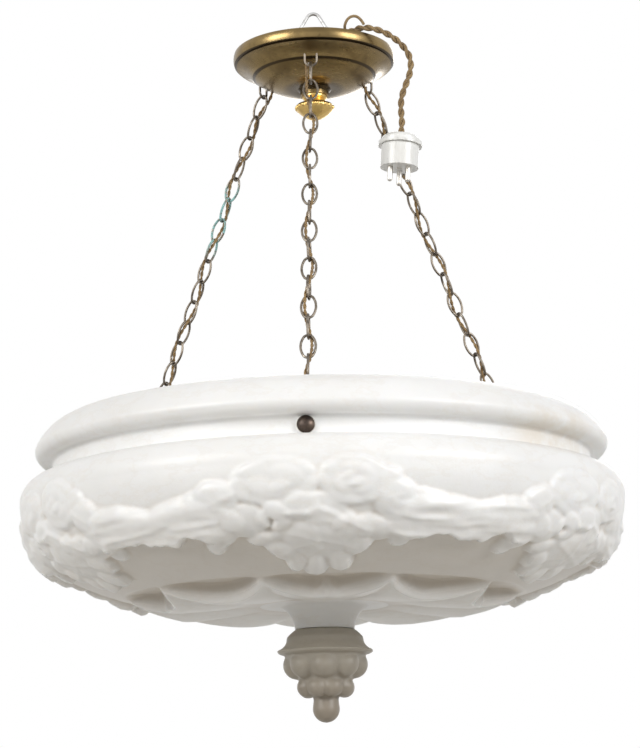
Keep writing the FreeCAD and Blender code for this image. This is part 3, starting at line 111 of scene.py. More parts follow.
# %% Shader tools
class Wire:
    """A value that runs along a link between shader nodes; + - * / work on it as on a number."""

    def __init__(self, nodes, socket):
        self.nodes, self.socket = nodes, socket

    def maths(self, operation, *others, first=None):
        """A Math node: first, or else this value, and then the others, in its sockets in turn."""
        values = dict(enumerate((self if first is None else first, *others)))
        return self.nodes.node("ShaderNodeMath", {"operation": operation}, values)

    def __add__(self, other): return self.maths("ADD", other)
    def __sub__(self, other): return self.maths("SUBTRACT", other)
    def __mul__(self, other): return self.maths("MULTIPLY", other)
    def __truediv__(self, other): return self.maths("DIVIDE", other)
    def __radd__(self, other): return self.maths("ADD", other)
    def __rmul__(self, other): return self.maths("MULTIPLY", other)
    def __rsub__(self, other): return self.maths("SUBTRACT", self, first=other)
    def __rtruediv__(self, other): return self.maths("DIVIDE", self, first=other)

    def between(self, low, high):
        """0 at low, 1 at high, and a smooth S in between."""
        return self.nodes.node(
            "ShaderNodeMapRange", {"interpolation_type": "SMOOTHSTEP"}, {0: self, 1: low, 2: high}
        )

    def sine(self): return self.maths("SINE")
    def size(self): return self.maths("ABSOLUTE")
    def most(self, other): return self.maths("MAXIMUM", other)


class Nodes:
    """A tree of shader nodes, all of them made by one method."""

    def __init__(self, tree):
        self.tree = tree

    def node(self, kind, settings=None, values=None, out=0):
        """A node of a kind: its settings first, then its values or links; gives one output."""
        made = self.tree.nodes.new(kind)
        for key, value in (settings or {}).items():
            setattr(made, key, value)
        for key, value in (values or {}).items():
            if isinstance(value, Wire):
                self.tree.links.new(value.socket, made.inputs[key])
            else:
                made.inputs[key].default_value = value
        return Wire(self, made.outputs[out]) if len(made.outputs) else None

    def part(self, place, axis):
        """The x, y or z of a place."""
        return self.node("ShaderNodeSeparateXYZ", None, {0: place}, out=axis)

    def looked_at(self):
        """1 for a ray from the camera, off a gloss or through something clear, and 0 for others."""
        rays = ("Is Camera Ray", "Is Glossy Ray", "Is Transmission Ray")
        straight, gloss, clear = (self.node("ShaderNodeLightPath", out=ray) for ray in rays)
        return straight.most(gloss).most(clear)


class Finish(Nodes):
    """One material: a Principled surface and the nodes that feed it."""

    def __init__(self, name, **plain):
        self.material = bpy.data.materials.new(name)
        self.material.use_nodes = True
        super().__init__(self.material.node_tree)
        self.surface = self.tree.nodes["Principled BSDF"]
        for key, value in plain.items():
            self.surface.inputs[key.replace("_", " ")].default_value = value
        self.spot = self.node("ShaderNodeTexCoord", out="Object")

    def noise(self, scale, detail=4.0, roughness=0.55, stretch=None):
        """Cloudy noise from 0 to 1; stretch multiplies the place along x, y and z first."""
        place = self.spot
        if stretch:
            times = {"operation": "MULTIPLY"}
            place = self.node("ShaderNodeVectorMath", times, {0: place, 1: stretch}, out="Vector")
        sizes = {"Vector": place, "Scale": scale, "Detail": detail, "Roughness": roughness}
        return self.node("ShaderNodeTexNoise", None, sizes)

    def along(self, axis):
        """The x, y or z of the place on the piece, in metres."""
        return self.part(self.spot, axis)

    def stored(self, name):
        """A value that the mesh stores at its points."""
        return self.node("ShaderNodeAttribute", {"attribute_name": name}, out="Fac")

    def mix(self, share, first, second):
        """first where share is 0, second where it is 1, for colours."""
        first, second = (c if isinstance(c, Wire) else (*c, 1.0) for c in (first, second))
        values = {0: share, 6: first, 7: second}
        return self.node("ShaderNodeMix", {"data_type": "RGBA"}, values, out=2)

    def feed(self, name, wire):
        """The wire drives one socket of the surface."""
        self.tree.links.new(wire.socket, self.surface.inputs[name])

    def bump(self, height, distance, strength=0.5):
        """Bumps of a height map, distance in metres from its 0 to its 1."""
        values = {"Strength": strength, "Distance": distance, "Height": height}
        self.feed("Normal", self.node("ShaderNodeBump", None, values, out="Normal"))


# %% [markdown]
# ## Finishes
#
# Alabaster is a soft, slightly see-through stone. Its polish is best on the raised carving, its
# colour is a warm white with cloudy veins, and old wax and dust lie in the hollows. Brass goes
# brown and dark where nobody polishes it, and a spun piece keeps fine rings round its axis.

# %% Stone
STAIN_HEIGHT, STAIN_TALL, STAIN_RIGHT, STAIN_WIDE = -0.393, 0.022, 0.185, 0.045
STAIN_COLOUR, RUBBED_COLOUR = (0.66, 0.56, 0.42), (0.93, 0.93, 0.92)
# heights in metres: the finial's tip takes full painted shade below the first and none above the
# second
TIP_SHADE_FULL_BELOW, TIP_SHADE_GONE_ABOVE = -0.600, -0.545


def alabaster(name, pale, cloudy, vein_colour, dust):
    """Stone with clouds, veins, stains, dust in the hollows and a rubbed polish on the ridges,
    and painted shade on the underside, in the rosette's hollows and toward the finial's tip.

    Each layer is mixed over the one before by a share of its own: a noise or a height, run through
    a smooth step. The mesh stores how far a place stands out (ridge) and how much painted shade it
    takes (dull).
    """
    f = Finish(name, Subsurface_Weight=0.16, Subsurface_Scale=0.006, IOR=1.52)
    f.surface.inputs["Subsurface Radius"].default_value = (1.0, 0.86, 0.7)
    ridge = f.stored("ridge")
    clouds = f.noise(9.0, 5.0, 0.6)
    veins = (f.noise(16.0, 6.0, 0.65, stretch=(1.0, 1.0, 2.2)) - 0.5).size()
    vein = 1.0 - veins.between(0.0, 0.035)
    stain = f.noise(4.5, 3.0, 0.5).between(0.56, 0.74)
    colour = f.mix(clouds.between(0.35, 0.7), pale, cloudy)
    colour = f.mix(vein * 0.12, colour, vein_colour)
    colour = f.mix(stain * 0.12, colour, vein_colour)

    # one yellow patch under the lip, at the front right
    right, front, height = f.along(0), f.along(1), f.along(2)
    by_lip = 1.0 - ((height - STAIN_HEIGHT) / STAIN_TALL).size().between(0.4, 1.0)
    under_lip = by_lip * (1.0 - front.between(-0.10, 0.0))
    by_right = 1.0 - ((right - STAIN_RIGHT) / STAIN_WIDE).size().between(0.3, 1.0)
    blotches = f.noise(30.0, 4.0, 0.6).between(0.36, 0.6)
    colour = f.mix(by_right * under_lip * blotches * 0.36, colour, STAIN_COLOUR)

    # dust in the hollows, rubbed ridges, and painted shade on the underside, in the rosette's
    # hollows and toward the finial's tip
    hollow = (0.0 - ridge).between(0.05, 0.9)
    colour = f.mix(hollow * 0.34, colour, dust)
    colour = f.mix(ridge.between(0.1, 0.9) * 0.5, colour, RUBBED_COLOUR)
    # painted shade, in the dust colour: the stored dull value darkens the underside and the
    # rosette's hollows
    colour = f.mix(f.stored("dull") * 0.50, colour, dust)
    # painted shade, in the dust colour, growing toward the finial's tip
    colour = f.mix((1.0 - height.between(TIP_SHADE_FULL_BELOW, TIP_SHADE_GONE_ABOVE)) * 0.60, colour, dust)
    polish = f.noise(60.0, 3.0) * 0.10
    f.feed("Base Color", colour)
    f.feed("Roughness", 0.36 + polish - ridge.between(0.05, 0.8) * 0.16)
    grain = f.noise(420.0, 2.0) * 0.35 + f.noise(95.0, 3.0) * 0.65
    f.bump(grain, 0.0006, 0.35)
    return f.material


# %% [markdown]
# ## Metals
#
# The cup and the knob are brass, the chains are thin bronze wire, and bolts and nuts are plain
# metal. All are metals with clouds of age mixed in. A noise that is stretched flat along Z draws
# the rings of a lathe, which no image has to hold.

# %% Metals
def spun_brass(name, clean, dark, shine, rings, corners=()):
    """Brass turned on Z: fine rings, brown patina in clouds, and painted shade in low corners.

    The darkening at a place is the larger of its patina clouds and of the painted shade near a
    corner, which is given as a height and a half width in mm.
    """
    f = Finish(name, Metallic=1.0)
    clouds = f.noise(34.0, 5.0, 0.6)
    spots = f.noise(240.0, 3.0, 0.6)
    lathe = f.noise(1.0, 2.0, 0.5, stretch=(14.0, 14.0, rings))
    patina_and_shade = clouds.between(0.38, 0.68) * 0.45 + spots.between(0.55, 0.8) * 0.3
    # painted shade: a dark band round each corner of the cup, where shade falls
    if corners:
        height = f.along(2) * 1000.0
        for level, half in corners:
            patina_and_shade = patina_and_shade.most((1.0 - ((height - level) / half).size().between(0.35, 1.0)) * 0.95)
    f.feed("Base Color", f.mix(patina_and_shade, clean, dark))
    f.feed("Roughness", shine + clouds * 0.12 + lathe * 0.10 + spots.between(0.6, 0.85) * 0.15)
    f.bump(lathe * 0.7 + spots * 0.3, 0.0002, 0.35)
    return f.material


def chain_bronze():
    """Dark bronze wire, rubbed pale where the links wear, with green salts on one stretch."""
    f = Finish("dark_bronze_links", Metallic=0.92)
    clouds = f.noise(90.0, 4.0, 0.6)
    wear = f.noise(260.0, 3.0, 0.55).between(0.5, 0.72)
    colour = f.mix(clouds.between(0.35, 0.65), (0.115, 0.095, 0.075), (0.24, 0.205, 0.165))
    colour = f.mix(wear * 0.5, colour, (0.42, 0.38, 0.32))
    side, height = f.along(0), f.along(2)
    left = 1.0 - side.between(-0.075, -0.065)
    stretch = (1.0 - ((height + 0.166) / 0.034).size().between(0.55, 1.0)) * left
    salts = stretch * f.noise(150.0, 4.0, 0.6).between(0.40, 0.56)
    colour = f.mix(salts * 0.9, colour, (0.30, 0.56, 0.55))
    f.feed("Base Color", colour)
    f.feed("Metallic", 0.95 - salts * 0.9)
    f.feed("Roughness", 0.34 + clouds * 0.18 + salts * 0.35 - wear * 0.08)
    f.bump(clouds * 0.4 + f.noise(700.0, 2.0) * 0.6, 0.0002, 0.4)
    return f.material


def plain_metal(name, clean, dull, rough):
    """A plain metal with cloudy dulling and fine scratches."""
    f = Finish(name, Metallic=1.0)
    clouds = f.noise(120.0, 4.0, 0.6)
    scratch = f.noise(1.0, 3.0, 0.6, stretch=(300.0, 300.0, 2400.0))
    f.feed("Base Color", f.mix(clouds.between(0.35, 0.7), clean, dull))
    f.feed("Roughness", rough + clouds * 0.18 + scratch * 0.08)
    f.bump(scratch * 0.5 + clouds * 0.5, 0.0001, 0.3)
    return f.material


# %% [markdown]
# ## Flexes, plug and insulators
#
# The flex is wire under a braid of cotton. A braid is two sets of threads that cross, so two sine
# waves that lean opposite ways, over the flex's own flat map, give it at any size. The plug and
# the insulators are smooth mouldings, which only need faint dirt.

# %% Flexes, plug and insulators
def braided(name, gold, brown, threads=9.0, pitch=0.0011):
    """Cotton braid over wire: two sets of threads cross, worn and dusty in patches.

    The weave is the larger of two sines, one of the way round plus the way down, one of the way
    round less the way down.
    """
    f = Finish(name, Sheen_Weight=0.35, Sheen_Roughness=0.4)
    place = f.node("ShaderNodeUVMap", {"uv_map": "lay"}, out="UV")
    across, down = f.part(place, 0), f.part(place, 1)
    turn = across * (2 * math.pi * threads / 2)
    run = down * (2 * math.pi / pitch / 2)
    left, right = (turn + run).sine(), (turn - run).sine()
    weave = left.most(right) * 0.5 + 0.5
    over = (left - right).between(-0.4, 0.4)
    wear = f.noise(70.0, 4.0, 0.6)
    dust = f.noise(320.0, 3.0, 0.6)
    colour = f.mix(over * 0.6 + wear.between(0.35, 0.7) * 0.4, gold, brown)
    colour = f.mix((1.0 - weave).between(0.2, 0.9) * 0.7, colour, (0.05, 0.035, 0.02))
    colour = f.mix(dust.between(0.55, 0.8) * 0.35, colour, (0.55, 0.47, 0.33))
    f.feed("Base Color", colour)
    f.feed("Roughness", 0.62 + dust * 0.25)
    f.bump(weave * 0.8 + dust * 0.2, 0.00025, 0.7)
    return f.material


def moulded(name, colour, stain, rough, coat=0.0):
    """A moulded or glazed piece: faint clouds, rubbed dirt and a fine skin."""
    f = Finish(name, Coat_Weight=coat, Coat_Roughness=0.15)
    clouds = f.noise(60.0, 4.0, 0.6)
    specks = f.noise(520.0, 2.0, 0.5)
    mixed = f.mix(clouds.between(0.4, 0.75) * 0.5, colour, stain)
    mixed = f.mix(specks.between(0.66, 0.8) * 0.35, mixed, tuple(c * 0.55 for c in stain))
    f.feed("Base Color", mixed)
    f.feed("Roughness", rough + clouds * 0.12 + specks * 0.06)
    f.bump(clouds * 0.4 + specks * 0.6, 0.00015, 0.3)
    return f.material


# %% [markdown]
# ## The finishes of this pendant
#
# Each finish is made once and used on every piece of its material. The finial's stone is the
# bowl's alabaster painted darker and warmer, as painted shade for the bowl's shadow on it. The cup
# is painted dark in bands under its rim and at its steps, as painted shade in its corners.

# %% Finishes
# each stone's dust colour is also the colour of its painted shade
STONE = alabaster(
    "warm_white_alabaster", pale=(0.885, 0.885, 0.88), cloudy=(0.85, 0.845, 0.83),
    vein_colour=(0.70, 0.63, 0.53), dust=(0.56, 0.49, 0.40),
)
# the finial's stone: the bowl's alabaster painted darker and warmer, as painted shade for the shadow
# that the bowl casts on it
SHADED_FINIAL_STONE = alabaster(
    "shaded_finial_alabaster", pale=(0.41, 0.375, 0.315), cloudy=(0.34, 0.305, 0.25),
    vein_colour=(0.30, 0.25, 0.19), dust=(0.26, 0.21, 0.16),
)
RIM_Z = -36.0
# painted shade: dark bands in the cup's groove, at its step and at its lowest corner, as height and
# half width in mm
CUP_SHADE_BANDS = ((RIM_Z - 9.3, 1.5), (RIM_Z - 20.2, 1.3), (RIM_Z - 32.5, 2.2))
CUP_BRASS = spun_brass(
    "aged_spun_brass", (0.25, 0.175, 0.075), (0.050, 0.034, 0.018), 0.17, 700.0, CUP_SHADE_BANDS
)
KNOB_BRASS = spun_brass("gilt_cast_brass", (0.80, 0.56, 0.20), (0.42, 0.26, 0.09), 0.20, 300.0)
HOLDER_BRASS = spun_brass(
    "pressed_holder_brass", (0.66, 0.49, 0.21), (0.36, 0.25, 0.11), 0.24, 500.0
)
LINKS = chain_bronze()
BOLT_BRONZE = plain_metal("bolt_bronze", (0.10, 0.075, 0.06), (0.05, 0.04, 0.035), 0.30)
STEEL = plain_metal("drawn_steel", (0.62, 0.62, 0.62), (0.38, 0.37, 0.36), 0.26)
NICKEL = plain_metal("pale_nickel", (0.74, 0.72, 0.68), (0.52, 0.49, 0.44), 0.24)
CHAIN_FLEX = braided("gold_brown_chain_flex", (0.44, 0.29, 0.12), (0.18, 0.105, 0.045))
SUPPLY_FLEX = braided(
    "gold_brown_supply_flex", (0.42, 0.29, 0.13), (0.17, 0.10, 0.045), threads=11.0, pitch=0.0013
)
PLUG_WHITE = moulded("white_plug_moulding", (0.82, 0.82, 0.80), (0.70, 0.68, 0.63), 0.28, 0.3)
CERAMIC = moulded("terminal_ceramic", (0.74, 0.72, 0.67), (0.60, 0.56, 0.50), 0.42)
CORE_BLACK = moulded("black_core_moulding", (0.035, 0.033, 0.03), (0.07, 0.06, 0.05), 0.35)
print("finishes made:", len(bpy.data.materials))


# %% [markdown]
# ## Meshes and tubes
#
# Every new surface is a grid of rows and columns of points. Columns that go right round are
# joined, so there is no seam. A tube's centreline is a smooth curve through the flex's own bends.

# %% Mesh tools
CURVE_ORDER, CURVE_STEPS, FEWEST_STEPS = 3, 16, 8


def grid_object(name, grid, material, ends=False, uv=None, stored=None):
    """A mesh from a grid (rows, columns, xyz) in metres whose columns join up into rings.

    Four neighbours, two in a row and two in the next, make a face, and the last point of a row
    meets the first. With ends, the first and the last ring are closed by a face of their own.
    """
    rows, columns = grid.shape[:2]
    index = np.arange(rows * columns).reshape(rows, columns)
    above, below = index[:-1], index[1:]
    quads = np.stack(
        (above, np.roll(above, -1, 1), np.roll(below, -1, 1), below), -1
    ).reshape(-1, 4)
    mesh = bpy.data.meshes.new(name)
    loops = quads.reshape(-1)
    starts = np.arange(0, len(loops), 4)
    sizes = np.full(len(quads), 4)
    if ends:
        loops = np.concatenate((loops, index[0][::-1], index[-1]))
        starts = np.concatenate((starts, [len(quads) * 4, len(quads) * 4 + columns]))
        sizes = np.concatenate((sizes, [columns, columns]))
    mesh.vertices.add(rows * columns)
    mesh.vertices.foreach_set("co", grid.reshape(-1).astype(np.float32))
    mesh.loops.add(len(loops))
    mesh.loops.foreach_set("vertex_index", loops.astype(np.int32))
    mesh.polygons.add(len(starts))
    mesh.polygons.foreach_set("loop_start", starts.astype(np.int32))
    mesh.polygons.foreach_set("loop_total", sizes.astype(np.int32))
    mesh.polygons.foreach_set("use_smooth", np.ones(len(starts), bool))
    if uv is not None:
        layer = mesh.uv_layers.new(name="lay")
        flat = uv.reshape(-1, 2)[loops]
        around = flat[: len(quads) * 4, 0].reshape(-1, 4)
        wraps = around.max(1) - around.min(1) > 0.5
        around[wraps] = np.where(around[wraps] < 0.5, around[wraps] + 1.0, around[wraps])
        flat[: len(quads) * 4, 0] = around.reshape(-1)
        layer.data.foreach_set("uv", flat.reshape(-1).astype(np.float32))
    for key, values in (stored or {}).items():
        layer = mesh.attributes.new(key, "FLOAT", "POINT")
        layer.data.foreach_set("value", values.reshape(-1).astype(np.float32))
    mesh.materials.append(material)
    mesh.update(calc_edges=True)
    mesh.validate()
    made = bpy.data.objects.new(name, mesh)
    bpy.context.scene.collection.objects.link(made)
    return made


def smooth_line(name, corners):
    """Points along the smooth curve whose bends are pulled by the corners, in millimetres."""
    curve = bpy.data.curves.new(name, "CURVE")
    curve.dimensions = "3D"
    spline = curve.splines.new("NURBS")
    spline.points.add(len(corners) - 1)
    for point, corner in zip(spline.points, corners):
        point.co = (*(c * MM for c in corner), 1.0)
    spline.order_u = CURVE_ORDER
    spline.use_endpoint_u = True
    curve.resolution_u = CURVE_STEPS
    holder = bpy.data.objects.new(name, curve)
    bpy.context.scene.collection.objects.link(holder)
    mesh = bpy.data.meshes.new_from_object(holder)
    line = np.empty(len(mesh.vertices) * 3)
    mesh.vertices.foreach_get("co", line)
    bpy.data.objects.remove(holder)
    bpy.data.curves.remove(curve)
    bpy.data.meshes.remove(mesh)
    return line.reshape(-1, 3)


def distance_along(line):
    """How far along a line each of its points lies: the sum of the steps before it."""
    steps = np.linalg.norm(np.diff(line, axis=0), axis=1)
    return np.concatenate(([0.0], np.cumsum(steps)))


def spots_on(line, run, at):
    """The places at other distances along a line, by straight runs between its points."""
    return np.stack([np.interp(at, run, line[:, k]) for k in range(line.shape[1])], -1)


def evenly(line, step):
    """The same line as points a step apart, and the distance along it of each."""
    run = distance_along(line)
    count = max(FEWEST_STEPS, int(round(run[-1] / step)))
    at = np.linspace(0.0, run[-1], count + 1)
    return spots_on(line, run, at), at


def carried_frame(line):
    """Two directions square to the line that turn with it as little as they can.

    Each side direction is the last one less its share along the line, made one long again; the
    other direction is square to it and to the line.
    """
    tangent = np.gradient(line, axis=0)
    tangent /= np.linalg.norm(tangent, axis=1)[:, None]
    side = np.cross(tangent[0], (0.0, 0.0, 1.0))
    if np.linalg.norm(side) < 0.2:
        side = np.cross(tangent[0], (1.0, 0.0, 0.0))
    sides = []
    for t in tangent:
        side = side - t * np.dot(side, t)
        side = side / np.linalg.norm(side)
        sides.append(side)
    sides = np.array(sides)
    return sides, np.cross(tangent, sides)


def tube_grid(line, run, radius, sides):
    """Rings round a line: its place plus radius times (cosine * first + sine * second direction).

    Gives the rings, and the way round and the distance along as a flat place for the braid.
    """
    first, second = carried_frame(line)
    angle = np.arange(sides) / sides * 2 * np.pi
    over, beside = np.cos(angle)[None, :, None], np.sin(angle)[None, :, None]
    ring = over * first[:, None] + beside * second[:, None]
    uv = np.stack(np.broadcast_arrays(angle[None] / (2 * np.pi), run[:, None]), -1)
    return line[:, None] + ring * radius, uv


def twisted(line, run, offset, pitch):
    """The middles of two strands round a line, half a turn apart, with one turn in each pitch."""
    first, second = carried_frame(line)
    made = []
    for ahead in (0.0, 0.5):
        angle = 2 * np.pi * (run / pitch + ahead)
        aside = np.cos(angle)[:, None] * first + np.sin(angle)[:, None] * second
        made.append(line + offset * aside)
    return made


def joined(name, parts):
    """One object out of several that share a material."""
    bpy.ops.object.select_all(action="DESELECT")
    for part in parts:
        part.select_set(True)
    bpy.context.view_layer.objects.active = parts[0]
    bpy.ops.object.join()
    parts[0].name = name
    return parts[0]


def stands_for(piece, node):
    """The piece takes a node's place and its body."""
    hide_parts(node)
    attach(piece, body_of[node])
    return piece


# %% [markdown]
# ## The twisted supply flex
#
# The flex leaves the terminal block inside the cup, climbs over the rim, and hangs down to the
# plug. It is two braided wires twisted together, 5.6 mm over both. It is held at the block and
# weighed down by the plug, so it falls in one soft bow outside the rim.

# %% Supply flex
LINE_STEP = 0.0012
SUPPLY_OFFSET, SUPPLY_TWIST = 0.00138, 0.017
SUPPLY_STRAND, LOOSE_STRAND, STRAND_SIDES = 0.00140, 0.00120, 12
flex_route = [
    (16.88, -22.36, -45.95), (20.08, -27.96, -38.75), (27.0, -38.5, -33.5), (37.0, -46.5, -31.0),
    (48.0, -50.5, -31.2), (59.5, -50.0, -34.6), (70.0, -46.5, -40.0), (78.5, -42.5, -47.5),
    (83.3, -40.0, -56.5), (82.9, -38.6, -67.5), (78.5, -38.0, -78.5), (74.4, -38.0, -89.5),
    (73.8, -37.8, -101.0), (74.8, -38.0, -112.7), (73.0, -38.0, -124.1),
]
even_line, flex_run = evenly(smooth_line("supply_flex_route", flex_route), LINE_STEP)
flex_strands = []
for strand in twisted(even_line, flex_run, SUPPLY_OFFSET, SUPPLY_TWIST):
    grid, uv = tube_grid(strand, flex_run, SUPPLY_STRAND, STRAND_SIDES)
    flex_strands.append(grid_object("supply_strand", grid, SUPPLY_FLEX, ends=True, uv=uv))
supply = joined("twisted_supply_flex", flex_strands)
stands_for(supply, "supply_flex")
loose_route = [
    (30.5, -45.0, -33.5), (28.0, -54.5, -33.5), (31.0, -55.5, -25.0), (37.0, -54.0, -21.5),
    (42.5, -53.0, -24.5), (45.0, -52.6, -29.6),
]
loose_line, loose_run = evenly(smooth_line("loose_strand_route", loose_route), LINE_STEP)
loose_grid, loose_uv = tube_grid(loose_line, loose_run, LOOSE_STRAND, STRAND_SIDES)
loose = grid_object("loose_flex_strand", loose_grid, SUPPLY_FLEX, ends=True, uv=loose_uv)
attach(loose, "cup")
print("supply flex:", round(float(flex_run[-1]) * 1000, 1), "mm along its curve")


# %% [markdown]
# ## Flexes woven down the chains
#
# Each flex passes through the chain a quarter turn on at every joint between links, as a fitter
# threads it. Its bends are given by the same rule as in the solid model: a small step aside from
# the chain's line at each joint.

# %% Chain flexes and leads
STATIONS = {"front": 270.0, "right": 30.0, "left": 150.0}
LINKS_IN_CHAIN = 19
EYE_SPOT = np.array((53.0, 0.0, -64.0))
HOOK_SPOT = np.array((197.0, 0.0, -388.0))
HALF_EYE_WIRE, HALF_HOOK_PIN, END_PLAY = 1.0, 1.5, 0.45
WANDER_DEG, WANDER_LINKS = 8.0, 15.0
FIRST_STEP_ASIDE, STEP_ASIDE = 4.5, 4.1
THIN_TWIST, THIN_SIDES = 0.011, 8
# how far each wire lies from the pair's middle, and its radius, in metres
CHAIN_PAIR, LEAD_PAIR = (0.00064, 0.00078), (0.00060, 0.00068)


def turned(points, degrees):
    """Points turned about the Z axis: x and y shared out by the angle's cosine and sine."""
    c, s = math.cos(math.radians(degrees)), math.sin(math.radians(degrees))
    x, y, z = np.atleast_2d(points).T
    return np.stack((x * c - y * s, x * s + y * c, z), -1)


def woven_route(station):
    """The corners of one chain's flex: down from its hole, then aside at each joint of the chain.

    At each joint the step aside has turned a quarter turn back, and a slow sine lets it wander.
    """
    along = HOOK_SPOT - EYE_SPOT
    length = np.linalg.norm(along)
    along = along / length
    outward = np.array((-along[2], 0.0, along[0]))
    sideways = np.array((0.0, 1.0, 0.0))
    pitch = (length + HALF_EYE_WIRE + HALF_HOOK_PIN + END_PLAY) / LINKS_IN_CHAIN
    wander = [
        WANDER_DEG * math.sin(2 * math.pi * n / WANDER_LINKS) for n in range(LINKS_IN_CHAIN + 1)
    ]
    corners = [(46.0, -4.0, -55.5), (46.0, -4.0, -63.5)]
    for n in range(LINKS_IN_CHAIN - 1):
        angle = math.radians(315.0 - 90.0 * n + (wander[n] + wander[n + 1]) / 2)
        aside = outward * math.cos(angle) + sideways * math.sin(angle)
        joint = EYE_SPOT + along * (pitch * (n + 1) - HALF_EYE_WIRE)
        corners.append(tuple(joint + aside * (FIRST_STEP_ASIDE if n == 0 else STEP_ASIDE)))
    corners.append((185.0, -6.0, -382.5))
    return turned(np.array(corners), STATIONS[station])


def pair_of_wires(name, corners, offset, radius):
    """A thin twisted pair along a route, and its length in metres."""
    line, run = evenly(smooth_line(name + "_route", [tuple(c) for c in corners]), LINE_STEP)
    made = []
    for strand in twisted(line, run, offset, THIN_TWIST):
        grid, uv = tube_grid(strand, run, radius, THIN_SIDES)
        made.append(grid_object(name + "_strand", grid, CHAIN_FLEX, ends=True, uv=uv))
    return joined(name, made), float(run[-1])


for station in STATIONS:
    flex, long = pair_of_wires(f"woven_flex_{station}", woven_route(station), *CHAIN_PAIR)
    stands_for(flex, f"chain_flex_{station}")
    print("chain flex", station, round(long * 1000, 1), "mm")

lamp_routes = [
    turned(np.array([(185.0, -6.0, -383.4), (184.4, -4.0, -396.4), (189.1, 0.0, -412.7)]), azimuth)
    for azimuth in STATIONS.values()
]
cup_routes = [
    [(5.95, -36.12, -53.05), (-4.0, -46.0, -53.05), (-4.0, -46.0, -54.6)],
    [
        (29.04, -13.85, -53.05), (40.88, -14.88, -53.05), (43.47, 1.52, -53.05),
        (41.84, 19.54, -53.05), (41.84, 19.54, -54.6),
    ],
    [
        (2.22, -30.8, -53.05), (-23.05, -36.89, -53.05), (-37.67, -21.75, -53.05),
        (-43.5, 0.0, -53.05), (-40.88, 14.88, -53.05), (-37.84, 26.46, -53.05),
        (-37.84, 26.46, -54.6),
    ],
]
for node, routes in (("lamp_leads", lamp_routes), ("cup_leads", cup_routes)):
    made = [
        pair_of_wires(f"{node}_{n}", route, *LEAD_PAIR)[0] for n, route in enumerate(routes)
    ]
    stands_for(joined(f"twisted_{node}", made), node)


# %% [markdown]
# ## The carved bowl
#
# The bowl was turned on a lathe and then carved by hand. Under the plain rolled lip and the cove
# runs a garland: six clusters of two roses over lobed leaves, joined by swags of drapery.
# Underneath lies a rosette of ten petals round the boss. The turned shape is a half section of
# arcs, and the carving is a height above it that depends on the way round and on the distance
# down the wall.

# %% Turned section
def arc(start, end, radius, side, count):
    """Points on the short arc from start up to, not including, end; side says how it bulges.

    The centre lies square to the middle of the chord, as far off as the radius leaves by
    Pythagoras, and the angle round it runs evenly from start to end.
    """
    a, b = np.array(start, float), np.array(end, float)
    half = np.linalg.norm(b - a) / 2
    normal = np.array((b[1] - a[1], a[0] - b[0])) / (2 * half)
    centre = (a + b) / 2 - side * math.sqrt(radius**2 - half**2) * normal
    first = math.atan2(*(a - centre)[::-1])
    last = math.atan2(*(b - centre)[::-1])
    sweep = (last - first + math.pi) % (2 * math.pi) - math.pi
    angle = first + sweep * np.arange(count) / count
    return np.stack((centre[0] + radius * np.cos(angle), centre[1] + radius * np.sin(angle)), -1)


def run_of(start, end, count):
    """Points on the straight run from start up to, not including, end."""
    share = np.arange(count)[:, None] / count
    return np.array(start, float) + (np.array(end, float) - np.array(start, float)) * share


def eased(path, reach, step=0.5):
    """The path with its corners rounded over a reach in mm, as a rasp and wax leave them.

    Each point becomes the mean of its neighbours, weighted by a bell as wide as the reach.
    """
    run = distance_along(path)
    even = spots_on(path, run, np.arange(0.0, run[-1], step))
    wide = int(reach / step) | 1
    window = np.hanning(wide + 2)[1:-1]
    window /= window.sum()
    half = wide // 2
    padded = np.concatenate((
        2 * even[0] - even[half:0:-1], even, 2 * even[-1] - even[-2:-half - 2:-1],
    ))
    return np.stack([np.convolve(padded[:, k], window, "valid") for k in range(2)], -1)


# radius and height in mm
COVE_MIDDLE, COVE_FOOT, LEDGE = (220.5, -398.8), (220.5, -406.1), (220.9, -406.5)
SHOULDER, WAIST, HAUNCH = (231.0, -406.5), (246.7, -429.0), (222.0, -476.5)
UNDER, FLAT_UNDER, BOSS_TOP = (126.0, -506.5), (52.0, -508.97), (36.0, -509.5)
# distances are counted from the shoulder: before it come the cove, its corner and the ledge
LEAD_IN = 7.3 + 0.566 + 10.1
OUTSIDE_EASE, LATHE_EASE = 3.0, 2.5
outside = eased(np.concatenate((
    run_of(COVE_MIDDLE, COVE_FOOT, 20), run_of(COVE_FOOT, LEDGE, 3), run_of(LEDGE, SHOULDER, 20),
    arc(SHOULDER, WAIST, 19.6, -1, 60), arc(WAIST, HAUNCH, 62.0, -1, 90),
    arc(HAUNCH, UNDER, 220.0, -1, 120), run_of(UNDER, FLAT_UNDER, 90), [FLAT_UNDER],
)), OUTSIDE_EASE)
outside_run = distance_along(outside) - LEAD_IN
print("outside wall, from the cove to the boss:", round(float(outside_run[-1]), 1), "mm")


def wall_at(run):
    """Radius, height and outward normal of the turned wall at distances down it.

    The normal is the wall's own direction turned a quarter turn.
    """
    r, z = spots_on(outside, outside_run, run).transpose(-1, *range(np.ndim(run)))
    slope_r, slope_z = (np.gradient(outside[:, k], outside_run) for k in range(2))
    dr, dz = np.interp(run, outside_run, slope_r), np.interp(run, outside_run, slope_z)
    size = np.hypot(dr, dz)
    return r, z, -dz / size, dr / size


# %% [markdown]
# ## Carving tools
#
# A carver cuts rounded lobes, thin raised lines, layers of leaf and fans of petals, with a hand
# that is never quite even. Each tool here gives a height from the place across (x) and down the
# wall (y), so that tools can be added, or the higher of two taken. Heights leave the faces even
# and carry fine detail, which cut and joined solids would not.

